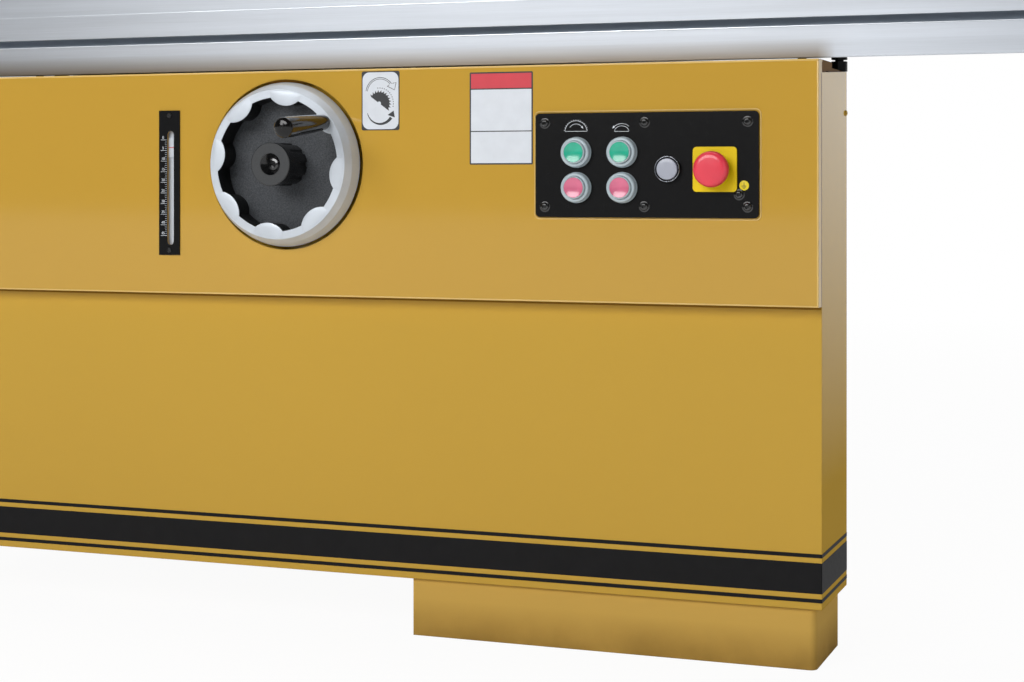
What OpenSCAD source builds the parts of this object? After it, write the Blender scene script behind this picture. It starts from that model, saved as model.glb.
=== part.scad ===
// Sliding table saw: a shallow front housing with the tilt wheel and the
// switch panel carries a long sliding table on a roller cage. Behind it stands
// the cabinet with the tilting saw unit, the cast table, the fences and the guard.
// X runs along the feed, Y from the slider side to the rip side, Z is up.

/* [Working surface] */
// Height of the working surface above the floor
table_z = 850; // [845:1:860]
// Distance from the housing face back to the blade plane
blade_y = 400; // [398:1:406]
// Tilt of the blade at rest, in degrees
tilt_rest = 3.6; // [0:0.1:5]

/* [Front housing] */
// Length of the housing
housing_l = 1600; // [1560:10:1700]
// Depth of the housing from its face to its back
housing_d = 145; // [140:1:146]
// Top of the housing's end panels above the floor, at their front
housing_top_z = 658; // [655:0.5:659]
// Thickness of the painted sheet
sheet_t = 2.5; // [1.5:0.5:3]
// Lower edge of the apron above the floor
apron_bottom_z = 401; // [390:1:420]
// Upper edge of the apron above the floor
apron_top_z = 672; // [666:1:672]
// How far the apron stands proud of the housing
apron_proud = 19; // [17:1:22]
// Height of the plinth feet
foot_h = 68; // [60:1:80]
// Length of the right front foot
foot_l = 482; // [400:1:500]
// Length of the left front foot
left_foot_l = 400; // [360:1:440]
// Depth of a foot
foot_d = 125; // [100:1:135]
// Radius of a foot's outer front edge
foot_r = 8; // [4:1:12]

/* [Sliding table] */
// Length of the sliding table
slider_l = 3200; // [2600:50:3400]
// Front face of the sliding table behind the housing face
slider_y = 25; // [23:1:28]
// Lower edge of the sliding table's front skirt above the floor
skirt_z = 676.5; // [674:0.5:678]
// Height of the T-slot mouth in the skirt
t_slot_h = 10; // [8:0.5:12]
// Centre of the T-slot above the skirt's lower edge
t_slot_rise = 40; // [38:0.5:43]
// Radius of a roller in the cage
roller_r = 11.7; // [11:0.1:11.8]

/* [Tilt wheel] */
// Tilt wheel's place along the housing from its middle
wheel_x = 153; // [150:1:158]
// Tilt wheel's height above the floor
wheel_z = 559; // [555:1:562]
// Largest diameter of the wheel
wheel_d = 198; // [190:1:202]
// How far the wheel's front stands out from the apron
wheel_proud = 23.4; // [23:0.1:26]
// Depth of the wheel's rim
wheel_depth = 34; // [32:1:38]
// Inner radius of the rim
rim_inner_r = 80; // [77:1:82]
// Number of finger lobes around the rim
lobe_count = 8; // [6:1:10]
// Length of the wheel's grip
grip_l = 107; // [80:1:115]
// Radius of the grip's belly
grip_r = 12; // [10:0.5:13]

/* [Switch panel] */
// Middle of the switch panel from the housing's right end
panel_inset = 195.5; // [186:0.5:205]
// Middle of the switch panel above the floor
panel_z = 557; // [550:1:565]
// Width of the switch panel
panel_w = 260; // [255:1:270]
// Height of the switch panel
panel_h = 118.5; // [112:0.5:125]
// Radius of a push button
button_r = 13; // [12:0.5:13.5]
// Travel of a push button
button_travel = 4; // [3:0.5:5]
// Diameter of the stop mushroom
mushroom_d = 40; // [36:1:44]

/* [Tilt scale] */
// Middle of the scale plate from the housing's middle
scale_x = -6.5; // [-12:0.5:0]
// Width of the scale plate
scale_w = 29; // [27:1:32]
// Lower end of the scale plate above the floor
scale_z0 = 448; // [444:1:450]
// Upper end of the scale plate above the floor
scale_z1 = 626; // [622:1:630]
// Height of the zero mark above the floor
scale_zero_z = 590; // [588:0.5:591]
// Length of the scale from 0 to 45 degrees
scale_l = 118; // [114:0.5:119]

/* [Saw unit] */
// Diameter of the main blade
blade_d = 355; // [340:1:360]
// Thickness of the main blade
blade_t = 3.2; // [2.8:0.1:3.6]
// Number of teeth on the main blade
blade_teeth = 54; // [36:2:72]
// Arm pivot's distance from the cabinet's left end
pivot_inset = 140; // [136:1:144]
// Arbor's depth under the working surface with the arm level
arbor_depth = 128.5; // [126:0.5:131]
// Length of the rise and fall arm from pivot to arbor
arm_l = 180; // [176:1:184]
// Diameter of the scoring blade
score_d = 120; // [110:1:122]
// Number of teeth on the scoring blade
score_teeth = 24; // [16:2:30]
// Distance from the arbor to the scoring blade
score_gap = 248; // [245:1:252]
// Diameter of the main motor
motor_d = 190; // [170:1:196]
// Pitch radius of the tilt worm
tilt_worm_r = 18; // [17:0.5:19]
// Module of the tilt worm
tilt_module = 4; // [3.5:0.1:4]
// Pitch radius of the rise worm
rise_worm_r = 16.5; // [15.5:0.5:17.5]
// Module of the rise worm
rise_module = 3; // [2.6:0.1:3]

/* [Cast table] */
// Half length of the cast table along the feed
cast_half_l = 420; // [410:1:430]
// Rear edge of the cast table from the housing face
cast_y1 = 950; // [940:1:960]
// Thickness of the cast plate
cast_t = 14; // [13:0.5:15]
// Depth of the cast ribs, plate included
cast_rib_h = 50; // [48:1:52]
// Rear edge of the extension table from the housing face
ext_y1 = 1436; // [1400:1:1550]

/* [Cabinet] */
// How far each end of the cabinet lies inside the cast table's end
cabinet_inset = 20; // [16:1:24]
// Rear wall of the cabinet from the housing face
cabinet_y1 = 900; // [890:1:905]
// Wall of the cabinet
cabinet_t = 4; // [3:0.5:5]
// Outer diameter of the dust port
dust_d = 120; // [100:1:140]

/* [Rip fence] */
// Diameter of the fence bar
bar_d = 50; // [46:1:52]
// Place of the fence's face from the housing face
fence_y = 880; // [860:1:900]
// Length of the fence profile
fence_l = 700; // [600:10:740]
// Height of the fence profile
fence_h = 60; // [50:1:64]

/* [Overhead guard] */
// Height of the guard arm above the working surface
guard_rise = 300; // [280:5:340]
// Length of the guard hood
hood_l = 460; // [440:5:480]
// Width of the guard hood
hood_w = 160; // [156:1:170]
// Height of the guard hood
hood_h = 110; // [100:1:120]

/* [Hidden] */
$fn = 48;

// Colours
paint = [0.77, 0.62, 0.24];
alloy = [0.80, 0.82, 0.84];
bare_steel = [0.62, 0.63, 0.65];
iron = [0.45, 0.46, 0.47];
black = [0.10, 0.11, 0.12];
dark = [0.24, 0.25, 0.26];
white = [0.88, 0.88, 0.92];
yellow = [0.92, 0.80, 0.05];
red = [0.85, 0.16, 0.20];
green = [0.02, 0.55, 0.38];

// Fits: face gap between moving pieces, radial shaft clearance, overrun of every cut
gap = 0.3;
fit = 0.05;
over = 1;

// Half lengths that many pieces share
half_l = housing_l / 2;
inner_half_l = half_l - sheet_t;
apron_y = -apron_proud;
panel_x = half_l - panel_inset;
cabinet_half_w = cast_half_l - cabinet_inset;

// Tilt axis and the shafts hung from it
blade_r = blade_d / 2;
arbor_z = table_z - arbor_depth;
pivot_x = pivot_inset - cabinet_half_w;
arbor_x = pivot_x + arm_l;
score_x = arbor_x + score_gap;
sector_r = table_z - wheel_z - tilt_worm_r;
tilt_lead = PI * tilt_module;
tilt_ratio = 2 * sector_r / tilt_module;
rise_lead = PI * rise_module;
rise_offset = 60;
rise_y = blade_y + rise_offset;
rise_sector_r = 85;
rise_z = arbor_z - rise_sector_r - rise_worm_r;
rise_rel = [rise_y - blade_y, table_z - rise_z];
rise_radius = norm(rise_rel);
rise_angle = atan2(rise_rel[0], rise_rel[1]);
rise_shaft_d = 20;
tilt_shaft_d = 20;
tilt_range = 45;

// Sliding table section
skirt_t = 33;
skirt_edge = 12;
channel_w = 110;
slider_leg_t = 22;
slider_web_drop = 86;
slider_web_z = table_z - slider_web_drop;
slider_wall = 8;
slider_lip_drop = [66, 52];
slider_lip_z = [slider_web_z - slider_lip_drop[0], slider_web_z - slider_lip_drop[1]];
slider_lip_w = 28;
channel_y0 = slider_y + skirt_t;
channel_y1 = channel_y0 + channel_w;
slider_leg_y = channel_y1 + slider_leg_t;
nose_gap = 15;
nose_y = blade_y - nose_gap;
nose_t = 11;
cap_t = 8;
t_slot_depth = 8;
t_slot_inner_h = 18;
t_slot_inner_d = 9;
t_slot_z = skirt_z + t_slot_rise;
top_slot_inset = 95;
top_slot_y = slider_y + top_slot_inset;
line_groove = 1.6;
line_rise = 74;

// Base rail, beam and jack bolts under the sliding table
rail_head_h = 24;
rail_side_gap = 8;
rail_stem_w = 41;
rail_foot_h = 7;
rail_head_z = slider_web_z - 2 * (roller_r + gap);
rail_neck_z = rail_head_z - rail_head_h;
rail_mid_y = channel_y0 + channel_w / 2;
rail_stem_h = 33;
rail_foot_z = rail_neck_z - rail_stem_h;
jack_d = 10;
jack_nut_d = 19.6;
jack_nut_h = 11.5;
jack_thin_h = 3;
jack_spread = 28;
jack_edge = 8;
jack_y = [rail_mid_y - jack_spread, housing_d - jack_edge];
rail_foot_edge = [10, 8];
rail_foot_y = [jack_y[0] - rail_foot_edge[0], jack_y[1] + rail_foot_edge[1]];
end_rise = 8.5;
beam_top_z = housing_top_z + end_rise;
beam_h = 56.5;
beam_t = 5;
beam_front = 32;
beam_y = [beam_front, housing_d - sheet_t];

// Roller cage
cage_l = 400;
cage_w = 88;
cage_h = 8;
roller_count = 4;
roller_l = 60;
roller_pin_d = 6;
roller_z = rail_head_z + gap + roller_r;

// Cabinet
cabinet_y0 = housing_d;
cabinet_step_y = blade_y - nose_gap;
cabinet_top_z = table_z - cast_rib_h;
cabinet_opening_rim = 30;
door_inset = [45, 100];
door_rise = 92;
door_h = 440;
door_y = [cabinet_step_y + door_inset[0], cabinet_y1 - door_inset[1]];
door_z = [foot_h + door_rise, foot_h + door_rise + door_h];
door_lap = 18;
door_t = 3;
hinge_pin_d = 6;
hinge_r = 7;
hinge_l = 30;
dust_z = 190;
dust_x = -180;
dust_l = 70;
dust_t = 4;
raise_slot_w = 34;
slot_margin_a = 5;

// Cast table and throat
throat_reach = [80, 132];
throat_x = [pivot_x - throat_reach[0], score_x + throat_reach[1]];
throat_w = 90;
throat_ledge = 14;
insert_t = 10;
insert_gap = 0.3;
slot_half = 5;
slot_reach = [50, 42];
slot_x = [pivot_x - slot_reach[0], score_x + slot_reach[1]];
cast_front_gap = 12;
cast_y0 = blade_y - cast_front_gap;
rib_t = 25;
ext_t = 38;
ext_wall = 5;
bracket_inset = 90;
bracket_x = cast_half_l - bracket_inset;
bracket_t = 8;
bracket_h = 240;
bracket_z0 = cabinet_top_z - bracket_h;

// Tilting cradle: two half-moon plates on arc tongues in fixed grooves
moon_gap = [82, 70];
moon_x = [score_x + moon_gap[0], pivot_x - moon_gap[1]];
moon_t = 16;
pad_t = moon_t - 2 * over;
moon_r = [60, 190];
moon_a = [-25, 65];
front_moon_r = 225;
front_moon_a = [-10, 65];
tongue_r = [150, 165];
tongue_a = [-20, 60];
tongue_h = 10;
shoe_r = [132, 183];
shoe_a = [-66, 66];
shoe_t = 22;
ear_span = [85, 190];
ear_y = [blade_y + ear_span[0], blade_y + ear_span[1]];
ear_drop = 70;
tie_d = 30;
tie_r = 172;
tie_a = [-18, 60];
sector_x = wheel_x;
sector_t = 12;
sector_plate_r0 = tie_r + tie_d / 2 + gap;
sector_plate_a = [-7, 66];
sector_tooth_k = [-2, 19];
sector_boss_d = 26;
sector_boss_r = 208;
sector_boss_a = [8, 56];
rise_ear_a = 11;
rise_ear_wall = 24;
rise_ear_r = rise_radius + rise_ear_wall;

// Rise and fall arm and main drive
lug_t = 14;
lug_w = 60;
pin_d = 24;
boss_d = 52;
arm_plate_t = 12;
arm_offset = 30;
arm_y = blade_y + arm_offset;
motor_plate_offset = 110;
motor_plate_y = blade_y + motor_plate_offset;
arm_boss_y = [arm_y - 2 * over, motor_plate_y + arm_plate_t];
arbor_house_span = [16, 80];
arbor_house_y = [blade_y + arbor_house_span[0], blade_y + arbor_house_span[1]];
arbor_house_d = 64;
arbor_d = 30;
pulley_span = [84, 106];
pulley_y = [blade_y + pulley_span[0], blade_y + pulley_span[1]];
arbor_pulley_r = 42;
motor_pulley_r = 52;
belt_t = 6;
motor_drop = 221.5;
motor_reach = 110;
motor_l = 250;
motor_x = pivot_x + motor_reach;
motor_z = arbor_z - motor_drop;
motor_shaft_d = 28;
flange_r = 36;
flange_t = 6;
nut_t = 9;
rise_sector_t = 10;
knife_t = 2.4;
knife_gap = 8;
knife_w = 42;
knife_a = [8, 55];
belt_gap = 0.4;

// Scoring unit
score_proud = 3;
score_z = table_z + score_proud - score_d / 2;
score_t = 3.2;
score_motor_d = 72;
score_motor_span = [24, 128];
score_motor_y = [blade_y + score_motor_span[0], blade_y + score_motor_span[1]];
score_spindle_d = 16;
score_flange_d = 34;
score_arm_t = 14;

// Worms and their shafts
tilt_worm_l = 4 * tilt_lead;
rise_worm_l = 4 * rise_lead;
worm_sides = 12;
worm_steps = 48;
bearing_w = 20;
bearing_h = 26;
bearing_gap = 12;
bearing_base_t = 10;
pedestal_t = 40;

// Tilt wheel
wheel_gap = 6;
wheel_hole_gap = 3.5;
wheel_front_y = apron_y - wheel_proud;
wheel_back_y = wheel_front_y + wheel_depth;
rim_front_drop = 9.5;
rim_shoulder_drop = 4;
rim_back_drop = 5;
rim_front_r = wheel_d / 2 - rim_front_drop;
rim_shoulder_r = wheel_d / 2 - rim_shoulder_drop;
rim_back_r = wheel_d / 2 - rim_back_drop;
rim_shoulder_share = 0.28;
rim_max_share = 0.66;
disc_t = 4;
disc_front_y = wheel_back_y - disc_t;
lobe_reach = 8.2;
lobe_r = 20.5;
lobe_phase = 37.5;
grip_orbit = 79.4;
grip_angle = 38.5;
grip_droop = 5;
grip_gap = 1.2;
grip_cap_h = 6;
grip_pin_d = 10;
grip_x = wheel_x + grip_orbit * cos(grip_angle);
grip_z = wheel_z + grip_orbit * sin(grip_angle);
grip_tip_y = wheel_front_y - (grip_gap + grip_l - grip_cap_h) * cos(grip_droop)
    - norm([grip_cap_h * cos(grip_droop), grip_r * sin(grip_droop)]);
hub_d = 30;
hub_l = 17;
knob_d = 51.5;
knob_l = 46.6;
knob_front_y = disc_front_y - knob_l;
knob_cup_d = 26.8;
knob_cup_depth = 16;
knob_flutes = 10;
flute_r = 4;
knob_collar_share = 0.72;

// Raise wheel on the cabinet's end
raise_wheel_r = 78;
raise_wheel_t = 18;
raise_wheel_gap = 34;
raise_wheel_x = cabinet_half_w + raise_wheel_gap;
raise_rim_w = 14;
raise_hub_d = 40;
raise_spokes = 3;
raise_grip_l = 62;
raise_grip_d = 20;

// Switch panel
panel_t = 3;
panel_r = 5;
panel_y = apron_y - panel_t;
button_dx = [-80.5, -26.2];
button_dz = [14.4, -25.5];
collar_r = 16.6;
collar_h = 8;
sleeve_r = 15.5;
block_w = 30;
block_span = [12, 44];
block_y = [apron_y + block_span[0], apron_y + block_span[1]];
button_proud = 13;
button_root_y = block_y[0] - button_travel - over;
pilot_dx = 27.3;
pilot_dz = -4.8;
pilot_d = 29.5;
stop_dx = 81;
stop_dz = -5.2;
stop_plate_w = 50;
stop_plate_t = 2.5;
stop_stem_r = 10;
stop_collar_r = 16;
stop_collar_h = 6;
stop_head_h = 12;
stop_travel = 5;

// Tilt scale
scale_t = 1.5;
scale_slot_w = 9.6;
scale_slot_dx = 1.5;
scale_slot_end = 12.5;
scale_slot_top = 25;
pointer_w = 20.4;
pointer_h = 24.4;
pointer_t = 2;
pointer_z = scale_zero_z - tilt_rest * scale_l / tilt_range;
window_w = 24;
window_t = 1.5;

// Rip fence
bar_offset = 52;
bar_x = cast_half_l + bar_offset;
bar_z = table_z - bar_offset;
bar_end_t = 14;
bar_end_gap = 10;
bar_y = [cast_y0, ext_y1 - bar_end_gap];
carrier_w = 84;
carrier_wall = 14;
carrier_arm_t = 20;
fence_t = 22;
fence_lift = 0.5;
fence_inset = 20;
fence_x1 = cast_half_l - fence_inset;
fence_key = [8, 6];
carrier_head_l = 170;
carrier_head_t = 34;
lever_d = 12;
lever_l = 110;
lever_pin_d = 10;

// Crosscut fence on the sliding table
cross_x = 620;
cross_w = 34;
cross_h = 62;
cross_l = 300;
cross_inset = 8;
cross_y = slider_y + cross_inset;
stop_w = 40;
stop_pin_d = 8;

// Overhead guard
post_gap = 46;
post_inset = 60;
post_x = -cast_half_l - post_gap;
post_y = ext_y1 - post_inset;
post_d = 76;
post_pin_d = 40;
guard_z = table_z + guard_rise;
guard_arm_h = 50;
guard_arm_w = 60;
hood_x = arbor_x;
hood_offset = 20;
hood_y = blade_y + hood_offset;
hood_t = 4;
hood_lift = 68;
hood_stem_d = 24;
hood_spigot_d = 80;
hood_nose_share = 0.3;
hub_lip = 5;

// Sizes of small features
foot_inset = 7.6;
foot_setback = 5;
rear_foot_l = 180;
upright_share = 0.48;
upright_lift = 1;
upright_top_z = apron_top_z + upright_lift;
jack_inset = [7, 40];
jack_tip = 3;
jack_places = [for (s = [-1, 1]) each [[s * (half_l - jack_inset[0]), jack_y[1]],
    [s * (half_l - jack_inset[1]), jack_y[0]],
    [s * half_l / 3, jack_y[1]], [s * half_l / 3, jack_y[0]]]];
window_y = pointer_t + 2 * gap;
pilot_lens_share = 0.7;
pilot_rim_h = 4;
pilot_dome_h = 6;
mid_rib_y = (cast_y0 + cast_y1) / 2 + throat_w;
worm_bearing_y = [blade_y - tilt_worm_l / 2 - bearing_gap - bearing_w,
    blade_y + tilt_worm_l / 2 + bearing_gap];
dust_flange = 14;
post_drop = 210;
post_foot_z = table_z - post_drop;
thread_share = 0.9;
lug_y = [arm_boss_y[0] - gap - lug_t, arm_boss_y[1] + gap];
lug_top = 18;
grip_pin_share = 0.2;
grip_waist_share = 0.24;
grip_steps = 8;
spoke_share = 0.7;
motor_face_share = 0.84;
rise_sector_a = 29;
rise_teeth = 4;
knife_foot_l = 32;
knife_foot_rise = [36.5, 68];
knife_foot_x = [pivot_x - knife_foot_l, pivot_x + 2 * over];
knife_foot_z = [arbor_z + knife_foot_rise[0], arbor_z + knife_foot_rise[1]];
motor_fin_share = 0.07;
motor_cowl_share = 0.78;
motor_fins = 20;
fin_t = 4;
terminal_share = 0.22;
blade_tooth_h = 8;
score_tooth_h = 5;
nut_across_r = 24;
stop_ear_t = 8;
stop_ear_w = 24;
stop_ear_h = 22;
stop_rise = 12;
stop_z = table_z + cross_h + stop_rise;
stop_barrel_r = 9;
stop_plate_gap = 2;
stop_plate_th = 5;
stop_floor = 6;
head_rise = 8;
key_rise = 16;
head_z = table_z + fence_lift + head_rise;
key_z = table_z + fence_lift + key_rise;
lever_w = 22;
lever_ear_t = 8;
lever_shift = 6;
lever_rise = 16;
lever_x = bar_x + lever_shift;
lever_z = head_z + carrier_arm_t + lever_rise;
mushroom_edge_share = 0.35;
mushroom_share = 0.7;
hood_spigot_h = 50;
latch_inset = 40;
latch_y = door_y[0] + latch_inset;
latch_z = (door_z[0] + door_z[1]) / 2;
latch_d = 12;
latch_knob_d = 36;
latch_knob_h = 20;
latch_cam_x = -cabinet_half_w + cabinet_t + over;
latch_cam_t = 4;
latch_cam_l = 44;

// The frame's origin is the middle of the footprint
y_mid = (grip_tip_y + ext_y1) / 2;

module place() {
    translate([0, -y_mid, 0]) children();
}

// Everything on the tilting cradle, turned to the rest tilt about the blade line
module tilted() {
    place() translate([0, blade_y, table_z]) rotate([-tilt_rest, 0, 0])
        translate([0, -blade_y, -table_z]) children();
}

module box(lo, hi) {
    translate(lo) cube([for (i = [0:2]) hi[i] - lo[i]]);
}

module rod_x(x0, x1, y, z, d) {
    translate([x0, y, z]) rotate([0, 90, 0]) cylinder(d = d, h = x1 - x0);
}

module rod_y(y0, y1, x, z, d) {
    translate([x, y0, z]) rotate([-90, 0, 0]) cylinder(d = d, h = y1 - y0);
}

module rod_z(z0, z1, x, y, d) {
    translate([x, y, z0]) cylinder(d = d, h = z1 - z0);
}

// A drawing in Y and Z, drawn out along X
module along_x(x0, x1) {
    translate([x0, 0, 0]) rotate([90, 0, 90]) linear_extrude(x1 - x0) children();
}

// A drawing in X and Z, drawn out along Y
module along_y(y0, y1) {
    translate([0, y1, 0]) rotate([90, 0, 0]) linear_extrude(y1 - y0) children();
}

// A turned profile of radius and distance, set along Y from y0 towards the front
module turned_front(x, y0, z) {
    translate([x, y0, z]) rotate([90, 0, 0]) rotate_extrude() children();
}

// An arc plate about the tilt axis, its angles counted from straight down towards +Y
module arc_plate(r, a, x0, x1) {
    translate([x0, blade_y, table_z]) rotate([0, 90, 0]) rotate([0, 0, a[0]])
        rotate_extrude(angle = a[1] - a[0]) translate([r[0], 0]) square([r[1] - r[0], x1 - x0]);
}

// A point at radius r and angle a about the tilt axis, as [y, z]
function moon_point(r, a) = [blade_y + r * sin(a), table_z - r * cos(a)];

// A drawing with rounded corners about its middle
module rounded(w, h, r) {
    union() {
        square([w - 2 * r, h], center = true);
        square([w, h - 2 * r], center = true);
        for (sx = [-1, 1], sz = [-1, 1]) translate([sx * (w / 2 - r), sz * (h / 2 - r)]) circle(r);
    }
}

// A circular saw blade's outline: hooked teeth round a plate
module blade_outline(r, teeth, depth, bore_r) {
    step = 360 / teeth;
    tip_share = 0.62;
    difference() {
        polygon([for (k = [0:teeth - 1], p = [[r - depth, 0], [r, tip_share], [r - depth, tip_share]])
            p[0] * [cos((k + p[1]) * step), sin((k + p[1]) * step)]]);
        circle(bore_r);
    }
}

// A worm about Z whose crest follows a helix; its root and crest lie depth off the pitch radius
module worm(pitch_r, depth, lead, length, phase) {
    rotate([0, 0, phase]) linear_extrude(length, twist = -360 * length / lead, slices = worm_steps)
        translate([depth, 0]) circle(pitch_r, $fn = worm_sides);
}

// One sector tooth drawn about the pitch line, with its tip along +x
module tooth(module_size) {
    tip_shares = [0.70, 0.25];
    foot_shares = [-1.05, 1.19];
    polygon([[foot_shares[0], -foot_shares[1]] * module_size, [tip_shares[0], -tip_shares[1]] * module_size,
        [tip_shares[0], tip_shares[1]] * module_size, [foot_shares[0], foot_shares[1]] * module_size]);
}

// Panels and frame that stand still
module front_housing() color(paint) place() difference() {
    along_x(-half_l, half_l) polygon([[0, foot_h], [housing_d, foot_h], [housing_d, beam_top_z],
        [0, housing_top_z]]);
    box([-inner_half_l, sheet_t, foot_h + sheet_t], [inner_half_l, housing_d - sheet_t, beam_top_z + over]);
    box([-cabinet_half_w + cabinet_opening_rim, housing_d - sheet_t - over, foot_h + cabinet_opening_rim],
        [cabinet_half_w - cabinet_opening_rim, housing_d + over, beam_top_z + over]);
    rod_y(-over, sheet_t + over, wheel_x, wheel_z, tilt_shaft_d + 2 * wheel_gap);
    box([panel_x - panel_w / 2 + panel_r, -over, panel_z - panel_h / 2 + panel_r],
        [panel_x + panel_w / 2 - panel_r, sheet_t + over, panel_z + panel_h / 2 - panel_r]);
}

// Tray-shaped front panel with its returns, the openings for the controls and the scale
module front_apron() color(paint) place() difference() {
    union() {
        box([-half_l, apron_y, apron_bottom_z], [half_l, 0, apron_top_z]);
        box([-half_l, apron_y, apron_top_z - sheet_t], [half_l, sheet_t, apron_top_z]);
    }
    box([-inner_half_l, apron_y + sheet_t, apron_bottom_z + sheet_t],
        [inner_half_l, sheet_t + over, apron_top_z - sheet_t]);
    rod_y(apron_y - over, 0, wheel_x, wheel_z, wheel_d + 2 * wheel_hole_gap);
    control_holes(apron_y - over, apron_y + sheet_t + over, sleeve_r + gap);
    scale_slot(apron_y - over, apron_y + sheet_t + over);
}

module control_holes(y0, y1, r) {
    for (dx = button_dx, dz = button_dz) rod_y(y0, y1, panel_x + dx, panel_z + dz, 2 * r);
    rod_y(y0, y1, panel_x + pilot_dx, panel_z + pilot_dz, pilot_d - sheet_t);
    rod_y(y0, y1, panel_x + stop_dx, panel_z + stop_dz, 2 * r);
}

module scale_slot(y0, y1) {
    slot_r = scale_slot_w / 2;
    lo = scale_z0 + scale_slot_end + slot_r;
    hi = scale_z1 - scale_slot_top - slot_r;
    for (z = [lo, hi]) rod_y(y0, y1, scale_x + scale_slot_dx, z, scale_slot_w);
    box([scale_x + scale_slot_dx - slot_r, y0, lo], [scale_x + scale_slot_dx + slot_r, y1, hi]);
}

// Front feet with a rounded outer edge, and a smaller pair under the cabinet's rear corners
module plinth_feet() color(paint) place() {
    for (s = [-1, 1]) {
        x1 = half_l - foot_inset;
        length = s > 0 ? foot_l : left_foot_l;
        linear_extrude(foot_h) scale([s, 1]) difference() {
            translate([x1 - length, foot_setback]) square([length, foot_d]);
            translate([x1 - foot_r, foot_setback]) difference() {
                translate([0, -over]) square([foot_r + over, foot_r + over]);
                translate([0, foot_r]) circle(foot_r);
            }
        }
        translate([s * (cabinet_half_w - rear_foot_l / 2), cabinet_y1 - foot_d / 2, 0])
            linear_extrude(foot_h) rounded(rear_foot_l, foot_d, foot_r);
    }
}

// Welded cabinet, lower under the sliding table, with its door and wheel openings
module saw_cabinet() color(paint) place() {
    t = cabinet_t;
    difference() {
        along_x(-cabinet_half_w, cabinet_half_w) cabinet_section(0, 0);
        along_x(-cabinet_half_w + t, cabinet_half_w - t) cabinet_section(t, over);
        box([-cabinet_half_w + cabinet_opening_rim, cabinet_y0 - over, foot_h + cabinet_opening_rim],
            [cabinet_half_w - cabinet_opening_rim, cabinet_y0 + t + over, housing_top_z + over]);
        box([-cabinet_half_w + cabinet_opening_rim, cabinet_step_y - over, housing_top_z],
            [cabinet_half_w - cabinet_opening_rim, cabinet_step_y + t + over, cabinet_top_z + over]);
        arc_plate([rise_radius - raise_slot_w / 2, rise_radius + raise_slot_w / 2],
            [rise_angle - tilt_range - slot_margin_a, rise_angle + slot_margin_a],
                cabinet_half_w - t - over, cabinet_half_w + over);
        box([-cabinet_half_w - over, door_y[0] + door_lap, door_z[0] + door_lap],
            [-cabinet_half_w + t + over, door_y[1] - door_lap, door_z[1] - door_lap]);
        rod_y(cabinet_y1 - t - over, cabinet_y1 + over, dust_x, dust_z, dust_d - 2 * dust_t);
    }
    for (z = hinge_levels()) {
        x = -cabinet_half_w - hinge_r - fit;
        y = door_y[1] + hinge_r;
        rod_z(z - hinge_l, z + hinge_l, x, y, hinge_pin_d);
        rod_z(z - hinge_l, z - hinge_l / 2 - gap, x, y, 2 * hinge_r);
        box([x, y - hinge_r / 2, z - hinge_l], [-cabinet_half_w, y + hinge_r / 2, z - hinge_l / 2 - gap]);
    }
}

function hinge_levels() = [door_z[0] + 2 * hinge_l, door_z[1] - 2 * hinge_l];

// The cabinet's section in Y and Z, drawn in by a wall and open above
module cabinet_section(wall, lift) {
    polygon([[cabinet_y0 + wall, foot_h + wall], [cabinet_y1 - wall, foot_h + wall],
        [cabinet_y1 - wall, cabinet_top_z + lift], [cabinet_step_y + wall, cabinet_top_z + lift],
        [cabinet_step_y + wall, housing_top_z + lift], [cabinet_y0 + wall, housing_top_z + lift]]);
}

// Box beam along the housing's top, with an upright plate inside each end panel
module rail_beam() color(paint) place() {
    z0 = beam_top_z - beam_h;
    difference() {
        box([-inner_half_l, beam_y[0], z0], [inner_half_l, beam_y[1], beam_top_z]);
        box([-inner_half_l - over, beam_y[0] + beam_t, z0 + beam_t],
            [inner_half_l + over, beam_y[1] - beam_t, beam_top_z - beam_t]);
    }
    for (s = [-1, 1]) {
        x = s * (inner_half_l - beam_t / 2);
        box([x - beam_t / 2, sheet_t, z0], [x + beam_t / 2, beam_y[0], upright_top_z]);
        box([x - beam_t / 2, beam_y[0], beam_top_z], [x + beam_t / 2, housing_d * upright_share,
            upright_top_z]);
    }
}

// T-shaped rail on jack bolts
module base_rail() color(bare_steel) place() difference() {
    along_x(-half_l, half_l) union() {
        translate([rail_foot_y[0], rail_foot_z]) square([rail_foot_y[1] - rail_foot_y[0], rail_foot_h]);
        translate([rail_mid_y - rail_stem_w / 2, rail_foot_z]) square([rail_stem_w,
            rail_head_z - rail_foot_z]);
        translate([channel_y0 + rail_side_gap, rail_neck_z])
            square([channel_w - 2 * rail_side_gap, rail_head_h]);
    }
    for (p = jack_places) rod_z(rail_foot_z - over, rail_foot_z + rail_foot_h + jack_tip + over,
        p[0], p[1], jack_d + 2 * fit);
}

// Studs on the beam, each with a foot nut and a thin nut under the rail
module rail_jack_bolts() color(black) place() for (p = jack_places) {
    rod_z(beam_top_z, rail_foot_z + rail_foot_h + jack_tip, p[0], p[1], jack_d);
    translate([p[0], p[1], beam_top_z]) rotate(30) cylinder(d = jack_nut_d, h = jack_nut_h, $fn = 6);
    translate([p[0], p[1], rail_foot_z - jack_thin_h]) rotate(30)
        cylinder(d = jack_nut_d, h = jack_thin_h, $fn = 6);
}

module scale_plate() color(black) place() difference() {
    box([scale_x - scale_w / 2, apron_y - scale_t, scale_z0], [scale_x + scale_w / 2, apron_y, scale_z1]);
    scale_slot(apron_y - scale_t - over, apron_y + over);
}

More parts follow.
